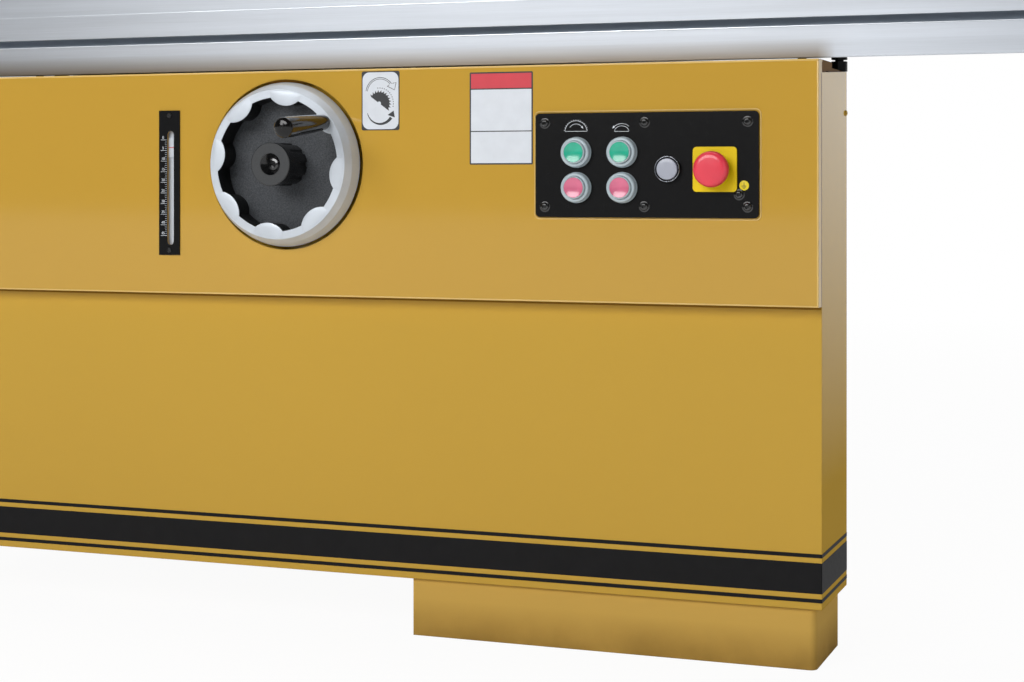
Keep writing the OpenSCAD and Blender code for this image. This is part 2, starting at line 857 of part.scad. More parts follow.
// White channel behind the slot that guides the pointer plate
module scale_window() color(white) place() difference() {
    x = scale_x + scale_slot_dx;
    y0 = apron_y + sheet_t;
    box([x - window_w / 2, y0, scale_z0], [x + window_w / 2, 0, scale_z1]);
    box([x - pointer_w / 2 - gap, y0 - over, scale_z0 - over], [x + pointer_w / 2 + gap, y0 + window_y,
        scale_z1 + over]);
    box([x - pointer_w / 2 - gap, y0 + window_y + window_t, scale_z0 - over],
        [x + pointer_w / 2 + gap, over, scale_z1 + over]);
}

module control_plate() color(black) place() difference() {
    along_y(panel_y, apron_y) translate([panel_x, panel_z]) rounded(panel_w, panel_h, panel_r);
    control_holes(panel_y - over, apron_y + over, sleeve_r + gap);
}

// Ring, threaded sleeve and switch block of each push button
module button_collars() color(dark) place() for (dx = button_dx, dz = button_dz)
    switch_body(panel_x + dx, panel_z + dz, panel_y, collar_r, collar_h, button_r + gap);

module switch_body(x, z, y, ring_r, ring_h, bore_r) {
    difference() {
        union() {
            rod_y(y - ring_h, y, x, z, 2 * ring_r);
            rod_y(y - over, block_y[0] + over, x, z, 2 * sleeve_r);
            box([x - block_w / 2, block_y[0], z - block_w / 2], [x + block_w / 2, block_y[1],
                z + block_w / 2]);
        }
        rod_y(y - ring_h - over, block_y[0], x, z, 2 * bore_r);
    }
}

module pilot_lamp() color(white) place() {
    x = panel_x + pilot_dx;
    z = panel_z + pilot_dz;
    lens_r = pilot_d * pilot_lens_share / 2;
    turned_front(x, panel_y, z) polygon(concat([[0, -collar_h], [pilot_d / 2 - sheet_t, -collar_h],
        [pilot_d / 2 - sheet_t, 0], [pilot_d / 2, 0], [pilot_d / 2, pilot_rim_h]],
        [for (a = [0:15:90]) [lens_r * cos(a), pilot_rim_h + pilot_dome_h * sin(a)]]));
}

// Yellow square plate with the stop switch's collar and block behind it
module e_stop_plate() color(yellow) place() {
    x = panel_x + stop_dx;
    z = panel_z + stop_dz;
    difference() {
        along_y(panel_y - stop_plate_t, panel_y) translate([x, z]) rounded(stop_plate_w, stop_plate_w,
            stop_plate_t);
        rod_y(panel_y - stop_plate_t - over, panel_y + over, x, z, 2 * sleeve_r);
    }
    switch_body(x, z, panel_y - stop_plate_t, stop_collar_r, stop_collar_h, stop_stem_r + gap);
}

// Ribbed cast table with a stepped throat
module main_table() color(iron) place() difference() {
    union() {
        box([-cast_half_l, cast_y0, table_z - cast_t], [cast_half_l, cast_y1, table_z]);
        for (s = [-1, 1]) {
            x = s * (cast_half_l - rib_t / 2);
            box([x - rib_t / 2, cast_y0, cabinet_top_z], [x + rib_t / 2, cast_y1, table_z]);
        }
        box([-cast_half_l, cast_y1 - rib_t, cabinet_top_z], [cast_half_l, cast_y1, table_z]);
        box([-cast_half_l, cast_y0, cabinet_top_z], [throat_x[0], cast_y0 + rib_t, table_z]);
        box([throat_x[1], cast_y0, cabinet_top_z], [cast_half_l, cast_y0 + rib_t, table_z]);
        box([-cast_half_l, mid_rib_y, cabinet_top_z], [cast_half_l, mid_rib_y + rib_t / 2, table_z]);
    }
    box([throat_x[0], cast_y0 - over, table_z - insert_t], [throat_x[1], cast_y0 + throat_w,
        table_z + over]);
    box([throat_x[0] + throat_ledge, cast_y0 - over, cabinet_top_z - over],
        [throat_x[1] - throat_ledge, cast_y0 + throat_w - throat_ledge, table_z]);
}

// Throat plate whose slot is bevelled for the tilting blade
module throat_insert() color(alloy) place() difference() {
    bottom = table_z - insert_t;
    box([throat_x[0] + insert_gap, cast_y0 + insert_gap, bottom],
        [throat_x[1] - insert_gap, cast_y0 + throat_w - insert_gap, table_z]);
    along_x(slot_x[0], slot_x[1]) polygon([[blade_y - slot_half, table_z + over],
        [blade_y + slot_half, table_z + over], [blade_y + slot_half, bottom - over],
        [blade_y - slot_half - insert_t - over, bottom - over], [blade_y - slot_half, table_z]]);
}

module extension_table() color(iron) place() difference() {
    box([-cast_half_l, cast_y1, table_z - ext_t], [cast_half_l, ext_y1, table_z]);
    box([-cast_half_l + ext_wall, cast_y1 + ext_wall, table_z - ext_t - over],
        [cast_half_l - ext_wall, ext_y1 - ext_wall, table_z - ext_wall]);
}

// Gusset brackets that carry the extension table from the cabinet
module table_brackets() color(paint) place() for (s = [-1, 1])
    along_x(s * bracket_x - bracket_t / 2, s * bracket_x + bracket_t / 2)
        polygon([[cabinet_y1, bracket_z0], [cabinet_y1, cabinet_top_z], [cast_y1, cabinet_top_z],
            [cast_y1 + ext_wall, cabinet_top_z], [cast_y1 + ext_wall, table_z - ext_wall],
            [ext_y1 - ext_wall, table_z - ext_wall], [ext_y1 - ext_wall, table_z - ext_t]]);

// Round fence bar held by an end plate on each table
module rip_bar() color(bare_steel) place() {
    rod_y(bar_y[0], bar_y[1], bar_x, bar_z, bar_d);
    for (y = [bar_y[0], bar_y[1] - bar_end_t])
        box([cast_half_l, y, bar_z - bar_d / 2], [bar_x + bar_d / 4, y + bar_end_t, bar_z + bar_d / 2]);
}

// Fixed shoes under the table, each with an arc groove for the cradle's tongue
module trunnion_brackets() color(iron) place() for (side = [0, 1]) {
    s = side == 0 ? 1 : -1;
    face = moon_x[side] + s * (moon_t / 2 + gap);
    x = [min(face, face + s * shoe_t), max(face, face + s * shoe_t)];
    groove = [min(face - s * over, face + s * (tongue_h + gap)), max(face - s * over,
        face + s * (tongue_h + gap))];
    difference() {
        union() {
            arc_plate(shoe_r, shoe_a, x[0], x[1]);
            box([x[0] + over, ear_y[0], table_z - ear_drop], [x[1] - over, ear_y[1], table_z - cast_t]);
        }
        arc_plate([tongue_r[0] - gap, tongue_r[1] + gap], [shoe_a[0] - over, shoe_a[1] + over],
            groove[0], groove[1]);
    }
}

// Pedestal with two bearings beside the tilt worm, and the front bush behind the housing face
module tilt_bearings() color(dark) place() difference() {
    union() {
        for (y = worm_bearing_y) box([wheel_x - pedestal_t / 2, y, wheel_z - bearing_h - bearing_base_t],
            [wheel_x + pedestal_t / 2, y + bearing_w, wheel_z + bearing_h - bearing_base_t]);
        box([wheel_x - pedestal_t / 2, worm_bearing_y[0], wheel_z - bearing_h - 2 * bearing_base_t],
            [wheel_x + pedestal_t / 2, worm_bearing_y[1] + bearing_w,
                wheel_z - bearing_h - bearing_base_t]);
        box([wheel_x - pedestal_t / 2, blade_y - pedestal_t, foot_h + cabinet_t],
            [wheel_x + pedestal_t / 2, blade_y + pedestal_t, wheel_z - bearing_h - bearing_base_t]);
        rod_y(sheet_t, sheet_t + bearing_w, wheel_x, wheel_z, 2 * bearing_h);
    }
    rod_y(0, worm_bearing_y[1] + bearing_w + over, wheel_x, wheel_z, tilt_shaft_d + 2 * fit);
}

module dust_port() color(dark) place() difference() {
    union() {
        rod_y(cabinet_y1, cabinet_y1 + dust_l, dust_x, dust_z, dust_d);
        rod_y(cabinet_y1, cabinet_y1 + dust_t, dust_x, dust_z, dust_d + 2 * dust_flange);
    }
    rod_y(cabinet_y1 - over, cabinet_y1 + dust_l + over, dust_x, dust_z, dust_d - 2 * dust_t);
}

module guard_post() color(paint) place() {
    rod_z(post_foot_z, guard_z - gap, post_x, post_y, post_d);
    rod_z(guard_z - over, guard_z + guard_arm_h, post_x, post_y, post_pin_d);
    box([post_x, post_y - post_d / 2, table_z - ext_t], [-cast_half_l, post_y + post_d / 2,
        table_z - ext_wall]);
}

// Sliding table
module slider_outline() {
    polygon([[slider_y, skirt_z], [slider_y + skirt_edge, skirt_z], [channel_y0, slider_lip_z[0]],
        [channel_y0 + slider_lip_w, slider_lip_z[0]], [channel_y0 + slider_lip_w, slider_lip_z[1]],
        [channel_y0, slider_lip_z[1]], [channel_y0, slider_web_z], [channel_y1, slider_web_z],
        [channel_y1, slider_lip_z[1]], [channel_y1 - slider_lip_w, slider_lip_z[1]],
        [channel_y1 - slider_lip_w, slider_lip_z[0]], [slider_leg_y, slider_lip_z[0]],
        [slider_leg_y, table_z - nose_t], [nose_y - nose_t, table_z - nose_t], [nose_y, table_z],
        [slider_y, table_z]]);
}

module sliding_table() color(alloy) place() along_x(-slider_l / 2 + cap_t,
    slider_l / 2 - cap_t) difference() {
    slider_outline();
    translate([slider_y - over, t_slot_z - t_slot_h / 2]) square([t_slot_depth + over, t_slot_h]);
    translate([slider_y + t_slot_depth, t_slot_z - t_slot_inner_h / 2]) square([t_slot_inner_d,
        t_slot_inner_h]);
    translate([top_slot_y - t_slot_h / 2, table_z - t_slot_depth]) square([t_slot_h, t_slot_depth + over]);
    translate([top_slot_y - t_slot_inner_h / 2, table_z - t_slot_depth - t_slot_inner_d])
        square([t_slot_inner_h, t_slot_inner_d]);
    translate([slider_y - over, skirt_z + line_rise]) square([line_groove + over, line_groove]);
    void_h = table_z - t_slot_depth - t_slot_inner_d - 2 * slider_wall - slider_web_z;
    void_w = (slider_leg_y - slider_y - 3 * slider_wall) / 2;
    for (k = [0, 1]) translate([slider_y + slider_wall + k * (void_w + slider_wall),
        slider_web_z + slider_wall])
        square([void_w, void_h]);
}

module table_end_caps() color(black) place() for (s = [-1, 1]) {
    x = s * (slider_l - cap_t) / 2;
    along_x(x - cap_t / 2, x + cap_t / 2) slider_outline();
}

// Short fence across the sliding table with ears for its flip stop
module crosscut_fence() color(alloy) place() difference() {
    union() {
        along_y(cross_y, cross_y + cross_l) difference() {
            translate([cross_x - cross_w / 2, table_z]) square([cross_w, cross_h]);
            translate([cross_x - cross_w / 2 - over, table_z + cross_h / 2]) square([t_slot_depth + over,
                t_slot_h]);
            translate([cross_x - cross_w / 2 + t_slot_depth,
                table_z + cross_h / 2 - (t_slot_inner_h - t_slot_h) / 2])
                square([t_slot_inner_d, t_slot_inner_h]);
        }
        for (s = [-1, 1]) {
            y = cross_y + cross_l / 2 + s * (stop_w / 2 + gap + stop_ear_t / 2);
            box([cross_x - stop_ear_w / 2, y - stop_ear_t / 2, table_z + cross_h],
                [cross_x + stop_ear_w / 2, y + stop_ear_t / 2, table_z + cross_h + stop_ear_h]);
        }
    }
    rod_y(cross_y, cross_y + cross_l, cross_x, stop_z, stop_pin_d + 2 * fit);
}

// Stop arm that hangs over the fence's face and flips up about its pin
module flip_stop() color(red) place() {
    y = cross_y + cross_l / 2;
    rod_y(y - stop_w / 2 - gap - stop_ear_t, y + stop_w / 2 + gap + stop_ear_t, cross_x, stop_z,
        stop_pin_d);
    rod_y(y - stop_w / 2, y + stop_w / 2, cross_x, stop_z, 2 * stop_barrel_r);
    box([cross_x - cross_w / 2 - stop_plate_gap - stop_plate_th, y - stop_w / 2, stop_z],
        [cross_x, y + stop_w / 2, stop_z + stop_barrel_r]);
    box([cross_x - cross_w / 2 - stop_plate_gap - stop_plate_th, y - stop_w / 2, table_z + stop_floor],
        [cross_x - cross_w / 2 - stop_plate_gap, y + stop_w / 2, stop_z + stop_barrel_r]);
}

// Cage with its rollers between the rail and the sliding table
module roller_cage() color(bare_steel) place() {
    pitch = cage_l / roller_count;
    difference() {
        box([-cage_l / 2, rail_mid_y - cage_w / 2, roller_z - cage_h / 2],
            [cage_l / 2, rail_mid_y + cage_w / 2, roller_z + cage_h / 2]);
        for (k = [0:roller_count - 1]) {
            x = (k - (roller_count - 1) / 2) * pitch;
            box([x - roller_r - over, rail_mid_y - roller_l / 2 - gap, roller_z - cage_h],
                [x + roller_r + over, rail_mid_y + roller_l / 2 + gap, roller_z + cage_h]);
            rod_y(rail_mid_y - cage_w / 2 + over, rail_mid_y + cage_w / 2 - over, x, roller_z,
                roller_pin_d + 2 * fit);
        }
    }
    for (k = [0:roller_count - 1]) {
        x = (k - (roller_count - 1) / 2) * pitch;
        rod_y(rail_mid_y - roller_l / 2, rail_mid_y + roller_l / 2, x, roller_z, 2 * roller_r);
        rod_y(rail_mid_y - cage_w / 2 + 2 * over, rail_mid_y + cage_w / 2 - 2 * over, x, roller_z,
            roller_pin_d);
    }
}

// Tilt wheel and its shaft
module tilt_shaft() color(bare_steel) place() {
    rod_y(disc_front_y - hub_l, worm_bearing_y[1] + bearing_w, wheel_x, wheel_z, tilt_shaft_d);
    translate([wheel_x, blade_y - tilt_worm_l / 2, wheel_z]) rotate([-90, 0, 0])
        worm(tilt_worm_r, tilt_module * thread_share, tilt_lead, tilt_worm_l, 90 + tilt_rest * tilt_ratio);
}

module handwheel_rim() color(alloy) place() union() {
    turned_front(wheel_x, wheel_back_y, wheel_z) polygon([[rim_inner_r, 0], [rim_back_r, 0],
        [wheel_d / 2, wheel_depth * (1 - rim_max_share)],
        [rim_shoulder_r, wheel_depth * (1 - rim_shoulder_share)], [rim_front_r, wheel_depth],
        [rim_inner_r, wheel_depth]]);
    intersection() {
        for (k = [0:lobe_count - 1]) {
            a = lobe_phase + k * 360 / lobe_count;
            orbit = rim_inner_r - lobe_reach + lobe_r;
            rod_y(wheel_front_y, disc_front_y, wheel_x + orbit * cos(a), wheel_z + orbit * sin(a),
                2 * lobe_r);
        }
        rod_y(wheel_front_y - over, disc_front_y + over, wheel_x, wheel_z, 2 * rim_inner_r + disc_t);
    }
    on_grip_axis() rod_y(-grip_l * (1 - grip_pin_share), disc_t, 0, 0, grip_pin_d);
}

// The grip leans down a little; its pieces are drawn from its root along -Y
module on_grip_axis() {
    translate([grip_x, wheel_front_y, grip_z]) rotate([grip_droop, 0, 0]) children();
}

module handwheel_disc() color(dark) place() difference() {
    union() {
        rod_y(disc_front_y, wheel_back_y, wheel_x, wheel_z, 2 * rim_inner_r);
        rod_y(disc_front_y - hub_l, disc_front_y + over, wheel_x, wheel_z, hub_d);
    }
    rod_y(disc_front_y - hub_l - over, wheel_back_y + over, wheel_x, wheel_z, tilt_shaft_d + 2 * fit);
}

// Barrel grip, narrower at its root and rounded at its tip, that turns on its pin
module handwheel_grip() color(black) place() on_grip_axis() difference() {
    body_l = grip_l - grip_cap_h;
    turned_front(0, -grip_gap, 0) polygon(concat([[0, 0]],
        [for (k = [0:grip_steps]) [grip_r * (1 - grip_waist_share * pow(1 - k / grip_steps, 2)),
            body_l * k / grip_steps]],
        [for (a = [15:15:90]) [grip_r * cos(a), body_l + grip_cap_h * sin(a)]]));
    rod_y(-grip_l * (1 - grip_pin_share) - over, over, 0, 0, grip_pin_d + 2 * fit);
}

// Fluted lock knob over the hub, with a cupped front
module handwheel_lock_knob() color(dark) place() difference() {
    back = disc_front_y - gap;
    length = back - knob_front_y;
    turned_front(wheel_x, back, wheel_z) polygon([[hub_d / 2 + fit, 0], [knob_d / 2, 0],
        [knob_d / 2, length - over], [knob_d / 2 - over, length], [knob_cup_d / 2, length],
        [0, length - knob_cup_depth], [0, hub_l], [hub_d / 2 + fit, hub_l]]);
    for (k = [0:knob_flutes - 1]) {
        a = k * 360 / knob_flutes;
        orbit = knob_d / 2 + flute_r / 2;
        rod_y(back - length * knob_collar_share, back + over, wheel_x + orbit * cos(a),
            wheel_z + orbit * sin(a),
            2 * flute_r);
    }
}

module tilt_pointer() color(white) place() {
    x = scale_x + scale_slot_dx;
    y0 = apron_y + sheet_t + gap;
    box([x - pointer_w / 2, y0, pointer_z - pointer_h / 2], [x + pointer_w / 2, y0 + pointer_t,
        pointer_z + pointer_h / 2]);
}

// Tilting saw unit
module tilt_cradle() color(iron) tilted() difference() {
    union() {
        for (side = [0, 1]) {
            s = side == 0 ? 1 : -1;
            x = moon_x[side];
            arc_plate(moon_r, moon_a, x - moon_t / 2, x + moon_t / 2);
            tongue = [min(x, x + s * (moon_t / 2 + tongue_h)), max(x, x + s * (moon_t / 2 + tongue_h))];
            arc_plate(tongue_r, tongue_a, tongue[0], tongue[1]);
        }
        arc_plate([moon_r[1] - over, front_moon_r], front_moon_a, moon_x[0] - pad_t / 2,
            moon_x[0] + pad_t / 2);
        arc_plate([moon_r[1] - over, rise_ear_r], [rise_angle - rise_ear_a, rise_angle + rise_ear_a],
            moon_x[1] - pad_t / 2, moon_x[1] + pad_t / 2);
        for (a = tie_a) {
            p = moon_point(tie_r, a);
            rod_x(moon_x[1], moon_x[0], p[0], p[1], tie_d);
        }
        for (y = lug_y) box([moon_x[1], y, arbor_z - lug_w / 2], [pivot_x + lug_w / 2, y + lug_t,
            arbor_z + lug_top]);
    }
    rod_y(lug_y[0] - over, lug_y[1] + lug_t + over, pivot_x, arbor_z, pin_d);
    rod_x(moon_x[1] - moon_t, moon_x[1] + moon_t, rise_y, rise_z, rise_shaft_d + 2 * fit);
}

// Toothed tilt sector on two spacer bosses
module tilt_sector() color(bare_steel) tilted() difference() {
    union() {
        arc_plate([sector_plate_r0, sector_r - tilt_module], sector_plate_a, sector_x - sector_t / 2,
            sector_x + sector_t / 2);
        for (k = [sector_tooth_k[0]:sector_tooth_k[1]])
            translate([sector_x - sector_t / 2 + over, blade_y, table_z]) rotate([0, 90, 0])
                rotate([0, 0, k * 360 / (2 * sector_r / tilt_module)]) translate([sector_r, 0])
                    linear_extrude(sector_t - 2 * over) tooth(tilt_module);
        for (a = sector_boss_a) {
            p = moon_point(sector_boss_r, a);
            rod_x(sector_x, moon_x[0] - pad_t / 2, p[0], p[1], sector_boss_d);
        }
    }
    rod_x(sector_x - sector_t, sector_x + sector_t, rise_y, rise_z, rise_shaft_d + 2 * fit);
}

module arm_pivot_pin() color(bare_steel) tilted()
    rod_y(lug_y[0], lug_y[1] + lug_t, pivot_x, arbor_z, pin_d);

module scoring_motor() color(dark) tilted() difference() {
    union() {
        rod_y(score_motor_y[0], score_motor_y[1], score_x, score_z, score_motor_d);
        box([score_x - score_arm_t, score_motor_y[0] + score_arm_t,
            score_z - score_motor_d / 2 - score_arm_t / 2],
            [moon_x[0] - moon_t / 2, score_motor_y[1] - score_arm_t,
                score_z - score_motor_d / 2 + score_arm_t / 2]);
    }
    rod_y(score_motor_y[0] - over, score_motor_y[1] - score_arm_t, score_x, score_z,
        score_spindle_d + 2 * fit);
}

// Scoring blade clamped on its spindle
module scoring_blade() color(alloy) tilted() {
    along_y(blade_y - score_t / 2, blade_y + score_t / 2) translate([score_x, score_z])
        blade_outline(score_d / 2, score_teeth, score_tooth_h, score_spindle_d / 4);
    rod_y(blade_y - nut_t, score_motor_y[1] - score_arm_t - gap, score_x, score_z, score_spindle_d);
    rod_y(blade_y + score_t / 2 - over, score_motor_y[0] - gap, score_x, score_z, score_flange_d);
    rod_y(blade_y - nut_t + over, blade_y, score_x, score_z, score_flange_d);
}

module raise_shaft() color(bare_steel) tilted() {
    rod_x(moon_x[1] - moon_t / 2, raise_wheel_x + raise_wheel_t, rise_y, rise_z, rise_shaft_d);
    translate([pivot_x - rise_worm_l / 2, rise_y, rise_z]) rotate([0, 90, 0])
        worm(rise_worm_r, rise_module * thread_share, rise_lead, rise_worm_l, 0);
}

// Spoked wheel with a grip, outside the cabinet's end
module raise_handwheel() color(alloy) tilted() difference() {
    union() {
        translate([raise_wheel_x, rise_y, rise_z]) rotate([0, 90, 0]) rotate_extrude()
            translate([raise_wheel_r - raise_rim_w / 2, raise_wheel_t / 2]) circle(raise_rim_w / 2);
        rod_x(raise_wheel_x, raise_wheel_x + raise_wheel_t, rise_y, rise_z, raise_hub_d);
        for (k = [0:raise_spokes - 1]) translate([raise_wheel_x + raise_wheel_t / 2, rise_y, rise_z])
            rotate([90 + k * 360 / raise_spokes, 0, 0]) cylinder(d = raise_rim_w * spoke_share,
                h = raise_wheel_r - raise_rim_w / 2);
        rod_x(raise_wheel_x + raise_wheel_t / 2, raise_wheel_x + raise_wheel_t + raise_grip_l, rise_y,
            rise_z + raise_wheel_r - raise_rim_w / 2, raise_grip_d / 2);
        rod_x(raise_wheel_x + raise_wheel_t + over, raise_wheel_x + raise_wheel_t + raise_grip_l, rise_y,
            rise_z + raise_wheel_r - raise_rim_w / 2, raise_grip_d);
    }
    rod_x(raise_wheel_x - over, raise_wheel_x + raise_wheel_t + over, rise_y, rise_z,
        rise_shaft_d + 2 * fit);
}

// Arm with its pivot boss, arbor housing, motor plate and rise sector
module arbor_arm() color(iron) tilted() difference() {
    union() {
        rod_y(arm_boss_y[0], arm_boss_y[1], pivot_x, arbor_z, boss_d);
        rod_y(arbor_house_y[0], arbor_house_y[1], arbor_x, arbor_z, arbor_house_d);
        box([pivot_x, arm_y, arbor_z - boss_d / 3], [arbor_x, arm_y + arm_plate_t, arbor_z + boss_d / 3]);
        translate([pivot_x, motor_plate_y + over, arbor_z]) rotate([0, atan2(motor_drop, motor_reach), 0])
            translate([0, 0, -boss_d / 3]) cube([norm([motor_drop, motor_reach]), arm_plate_t - 2 * over,
                2 * boss_d / 3]);
        rod_y(motor_plate_y, motor_plate_y + arm_plate_t, motor_x, motor_z, motor_d * motor_face_share);
        translate([pivot_x, rise_y + rise_sector_t / 2, arbor_z]) rotate([90, 0, 0]) rotate([0, 0,
            -90 - rise_sector_a])
            rotate_extrude(angle = 2 * rise_sector_a) square([rise_sector_r - rise_module, rise_sector_t]);
        for (k = [-rise_teeth:rise_teeth])
            translate([pivot_x, rise_y + rise_sector_t / 2 - over, arbor_z]) rotate([90, 0, 0])
                rotate([0, 0,
                    -90 + k * 360 / (2 * rise_sector_r / rise_module)]) translate([rise_sector_r, 0])
                    linear_extrude(rise_sector_t - 2 * over) tooth(rise_module);
        box([knife_foot_x[0], arm_y + over, arbor_z], [knife_foot_x[1], arm_y + arm_plate_t - over,
            knife_foot_z[1]]);
        box([knife_foot_x[0] + over, blade_y + knife_t / 2, knife_foot_z[0]],
            [knife_foot_x[1] - over, arm_y + arm_plate_t / 2, knife_foot_z[1] - over]);
    }
    rod_y(arm_boss_y[0] - over, arm_boss_y[1] + over, pivot_x, arbor_z, pin_d + 2 * fit);
    rod_y(arbor_house_y[0] - over, arbor_house_y[1] + over, arbor_x, arbor_z, arbor_d + 2 * fit);
    rod_y(motor_plate_y - over, motor_plate_y + arm_plate_t + over, motor_x, motor_z,
        motor_shaft_d + 2 * flange_t);
}

// Finned motor with a fan cowl and a terminal box
module main_motor() color(dark) tilted() difference() {
    y0 = motor_plate_y + arm_plate_t;
    fin_h = motor_d * motor_fin_share;
    union() {
        rod_y(y0, y0 + motor_l, motor_x, motor_z, motor_d - 2 * fin_h);
        rod_y(y0, y0 + fin_h, motor_x, motor_z, motor_d);
        rod_y(y0 + motor_l * motor_cowl_share, y0 + motor_l, motor_x, motor_z, motor_d);
        for (k = [0:motor_fins - 1]) translate([motor_x, y0, motor_z]) rotate([0, k * 360 / motor_fins, 0])
            translate([-fin_t / 2, 0, 0]) cube([fin_t, motor_l * motor_cowl_share, motor_d / 2 - fin_t]);
        box([motor_x - motor_d * terminal_share, y0 + motor_l / 3, motor_z - motor_d / 2 - fin_h],
            [motor_x + motor_d * terminal_share, y0 + 2 * motor_l / 3, motor_z - motor_d / 3]);
    }
    rod_y(y0 - over, y0 + motor_shaft_d, motor_x, motor_z, motor_shaft_d + 2 * fit);
}

// Belt loop round both pulleys
module drive_belt() color(black) tilted() along_y(pulley_y[0] + belt_gap,
    pulley_y[1] - belt_gap) difference() {
    belt_loop(belt_gap + belt_t);
    belt_loop(belt_gap);
}

module belt_loop(out) {
    hull() {
        translate([arbor_x, arbor_z]) circle(arbor_pulley_r + out, $fn = 32);
        translate([motor_x, motor_z]) circle(motor_pulley_r + out, $fn = 32);
    }
}

// Curved splitter that follows the blade's rear edge
module riving_knife() color(bare_steel) tilted()
    translate([arbor_x, blade_y + knife_t / 2, arbor_z]) rotate([90, 0, 0]) rotate([0, 0, 180 - knife_a[1]])
        rotate_extrude(angle = knife_a[1] - knife_a[0]) translate([blade_r + knife_gap,
            0]) square([knife_w, knife_t]);

// Arbor with its inner flange and pulley
module arbor_shaft() color(bare_steel) tilted() {
    rod_y(blade_y - blade_t / 2 - flange_t - nut_t - over, pulley_y[1], arbor_x, arbor_z, arbor_d);
    rod_y(blade_y + blade_t / 2, blade_y + blade_t / 2 + flange_t, arbor_x, arbor_z, 2 * flange_r);
    rod_y(pulley_y[0], pulley_y[1], arbor_x, arbor_z, 2 * arbor_pulley_r);
}

module saw_blade() color(alloy) tilted() along_y(blade_y - blade_t / 2, blade_y + blade_t / 2)
    translate([arbor_x, arbor_z]) blade_outline(blade_r, blade_teeth, blade_tooth_h, arbor_d / 2 + fit);

module blade_clamp() color(dark) tilted() difference() {
    y = blade_y - blade_t / 2;
    union() {
        rod_y(y - flange_t, y, arbor_x, arbor_z, 2 * flange_r);
        translate([arbor_x, y - flange_t - nut_t, arbor_z]) rotate([-90, 0, 0])
            cylinder(r = nut_across_r, h = nut_t + over, $fn = 6);
    }
    rod_y(y - flange_t - nut_t - over, y + over, arbor_x, arbor_z, arbor_d + 2 * fit);
}

module motor_pulley() color(bare_steel) tilted() {
    rod_y(pulley_y[0], pulley_y[1], motor_x, motor_z, 2 * motor_pulley_r);
    rod_y(pulley_y[1] - over, motor_plate_y + arm_plate_t + motor_shaft_d - gap, motor_x, motor_z,
        motor_shaft_d);
}

// Switches
module push_button(dx, dz) {
    length = button_root_y - panel_y + button_proud;
    turned_front(panel_x + dx, button_root_y, panel_z + dz) polygon([[0, 0], [button_r, 0],
        [button_r, length - over], [button_r - over, length], [0, length]]);
}

module start_main() color(green) place() push_button(button_dx[0], button_dz[0]);

module start_scoring() color(green) place() push_button(button_dx[1], button_dz[0]);

module stop_main() color(red) place() push_button(button_dx[0], button_dz[1]);

module stop_scoring() color(red) place() push_button(button_dx[1], button_dz[1]);

// Mushroom head on its stem
module e_stop_head() color(red) place() {
    root = block_y[0] - stop_travel - over;
    base = root - (panel_y - stop_plate_t - stop_collar_h - stop_travel - over);
    edge = stop_head_h * mushroom_edge_share;
    turned_front(panel_x + stop_dx, root, panel_z + stop_dz) polygon(concat([[0, 0], [stop_stem_r, 0],
        [stop_stem_r, base], [mushroom_d / 2, base], [mushroom_d / 2, base + edge]],
        [for (a = [15:15:90]) [mushroom_d / 2 * pow(cos(a), mushroom_share),
            base + edge + (stop_head_h - edge) * pow(sin(a), mushroom_share)]]));
}

// Rip fence
module fence_carrier() color(dark) place() difference() {
    y0 = fence_y + fence_t + gap;
    union() {
        rod_y(y0, y0 + carrier_w, bar_x, bar_z, bar_d + 2 * carrier_wall);
        box([bar_x - bar_d / 2 - carrier_wall, y0, bar_z], [bar_x + bar_d / 2, y0 + carrier_w,
            head_z + carrier_arm_t]);
        box([fence_x1 - carrier_head_l, y0, head_z], [bar_x, y0 + carrier_head_t, head_z + carrier_arm_t]);
        box([fence_x1 - carrier_head_l, y0 - fence_key[1], key_z + gap],
            [fence_x1 - carrier_arm_t, y0 + over, key_z + fence_key[0] - gap]);
        for (s = [-1, 1]) {
            y = y0 + carrier_w / 2 + s * (lever_w / 2 + gap + lever_ear_t / 2);
            box([lever_x - lever_pin_d, y - lever_ear_t / 2, head_z + carrier_arm_t - over],
                [lever_x + lever_pin_d, y + lever_ear_t / 2, lever_z + lever_pin_d]);
        }
    }
    rod_y(y0 - fence_key[1] - over, y0 + carrier_w + over, bar_x, bar_z, bar_d + 2 * fit);
    rod_y(y0, y0 + carrier_w, lever_x, lever_z, lever_pin_d + 2 * fit);
}

// Tall fence extrusion with a key slot in its back
module fence_profile() color(alloy) place() along_x(fence_x1 - fence_l, fence_x1) difference() {
    translate([fence_y, table_z + fence_lift]) square([fence_t, fence_h]);
    translate([fence_y + fence_t - fence_key[1] - gap, key_z]) square([fence_key[1] + gap + over,
        fence_key[0]]);
    translate([fence_y + slider_wall / 2, table_z + fence_lift + slider_wall])
        square([fence_t - fence_key[1] - slider_wall, fence_h - 2 * slider_wall]);
}

module fence_lever() color(black) place() {
    y = fence_y + fence_t + gap + carrier_w / 2;
    rod_y(y - lever_w / 2 - lever_ear_t, y + lever_w / 2 + lever_ear_t, lever_x, lever_z, lever_pin_d);
    rod_y(y - lever_w / 2, y + lever_w / 2, lever_x, lever_z, 2 * lever_pin_d);
    rod_x(lever_x, lever_x + lever_l, y, lever_z, lever_d);
    translate([lever_x + lever_l, y, lever_z]) sphere(d = lever_w);
}

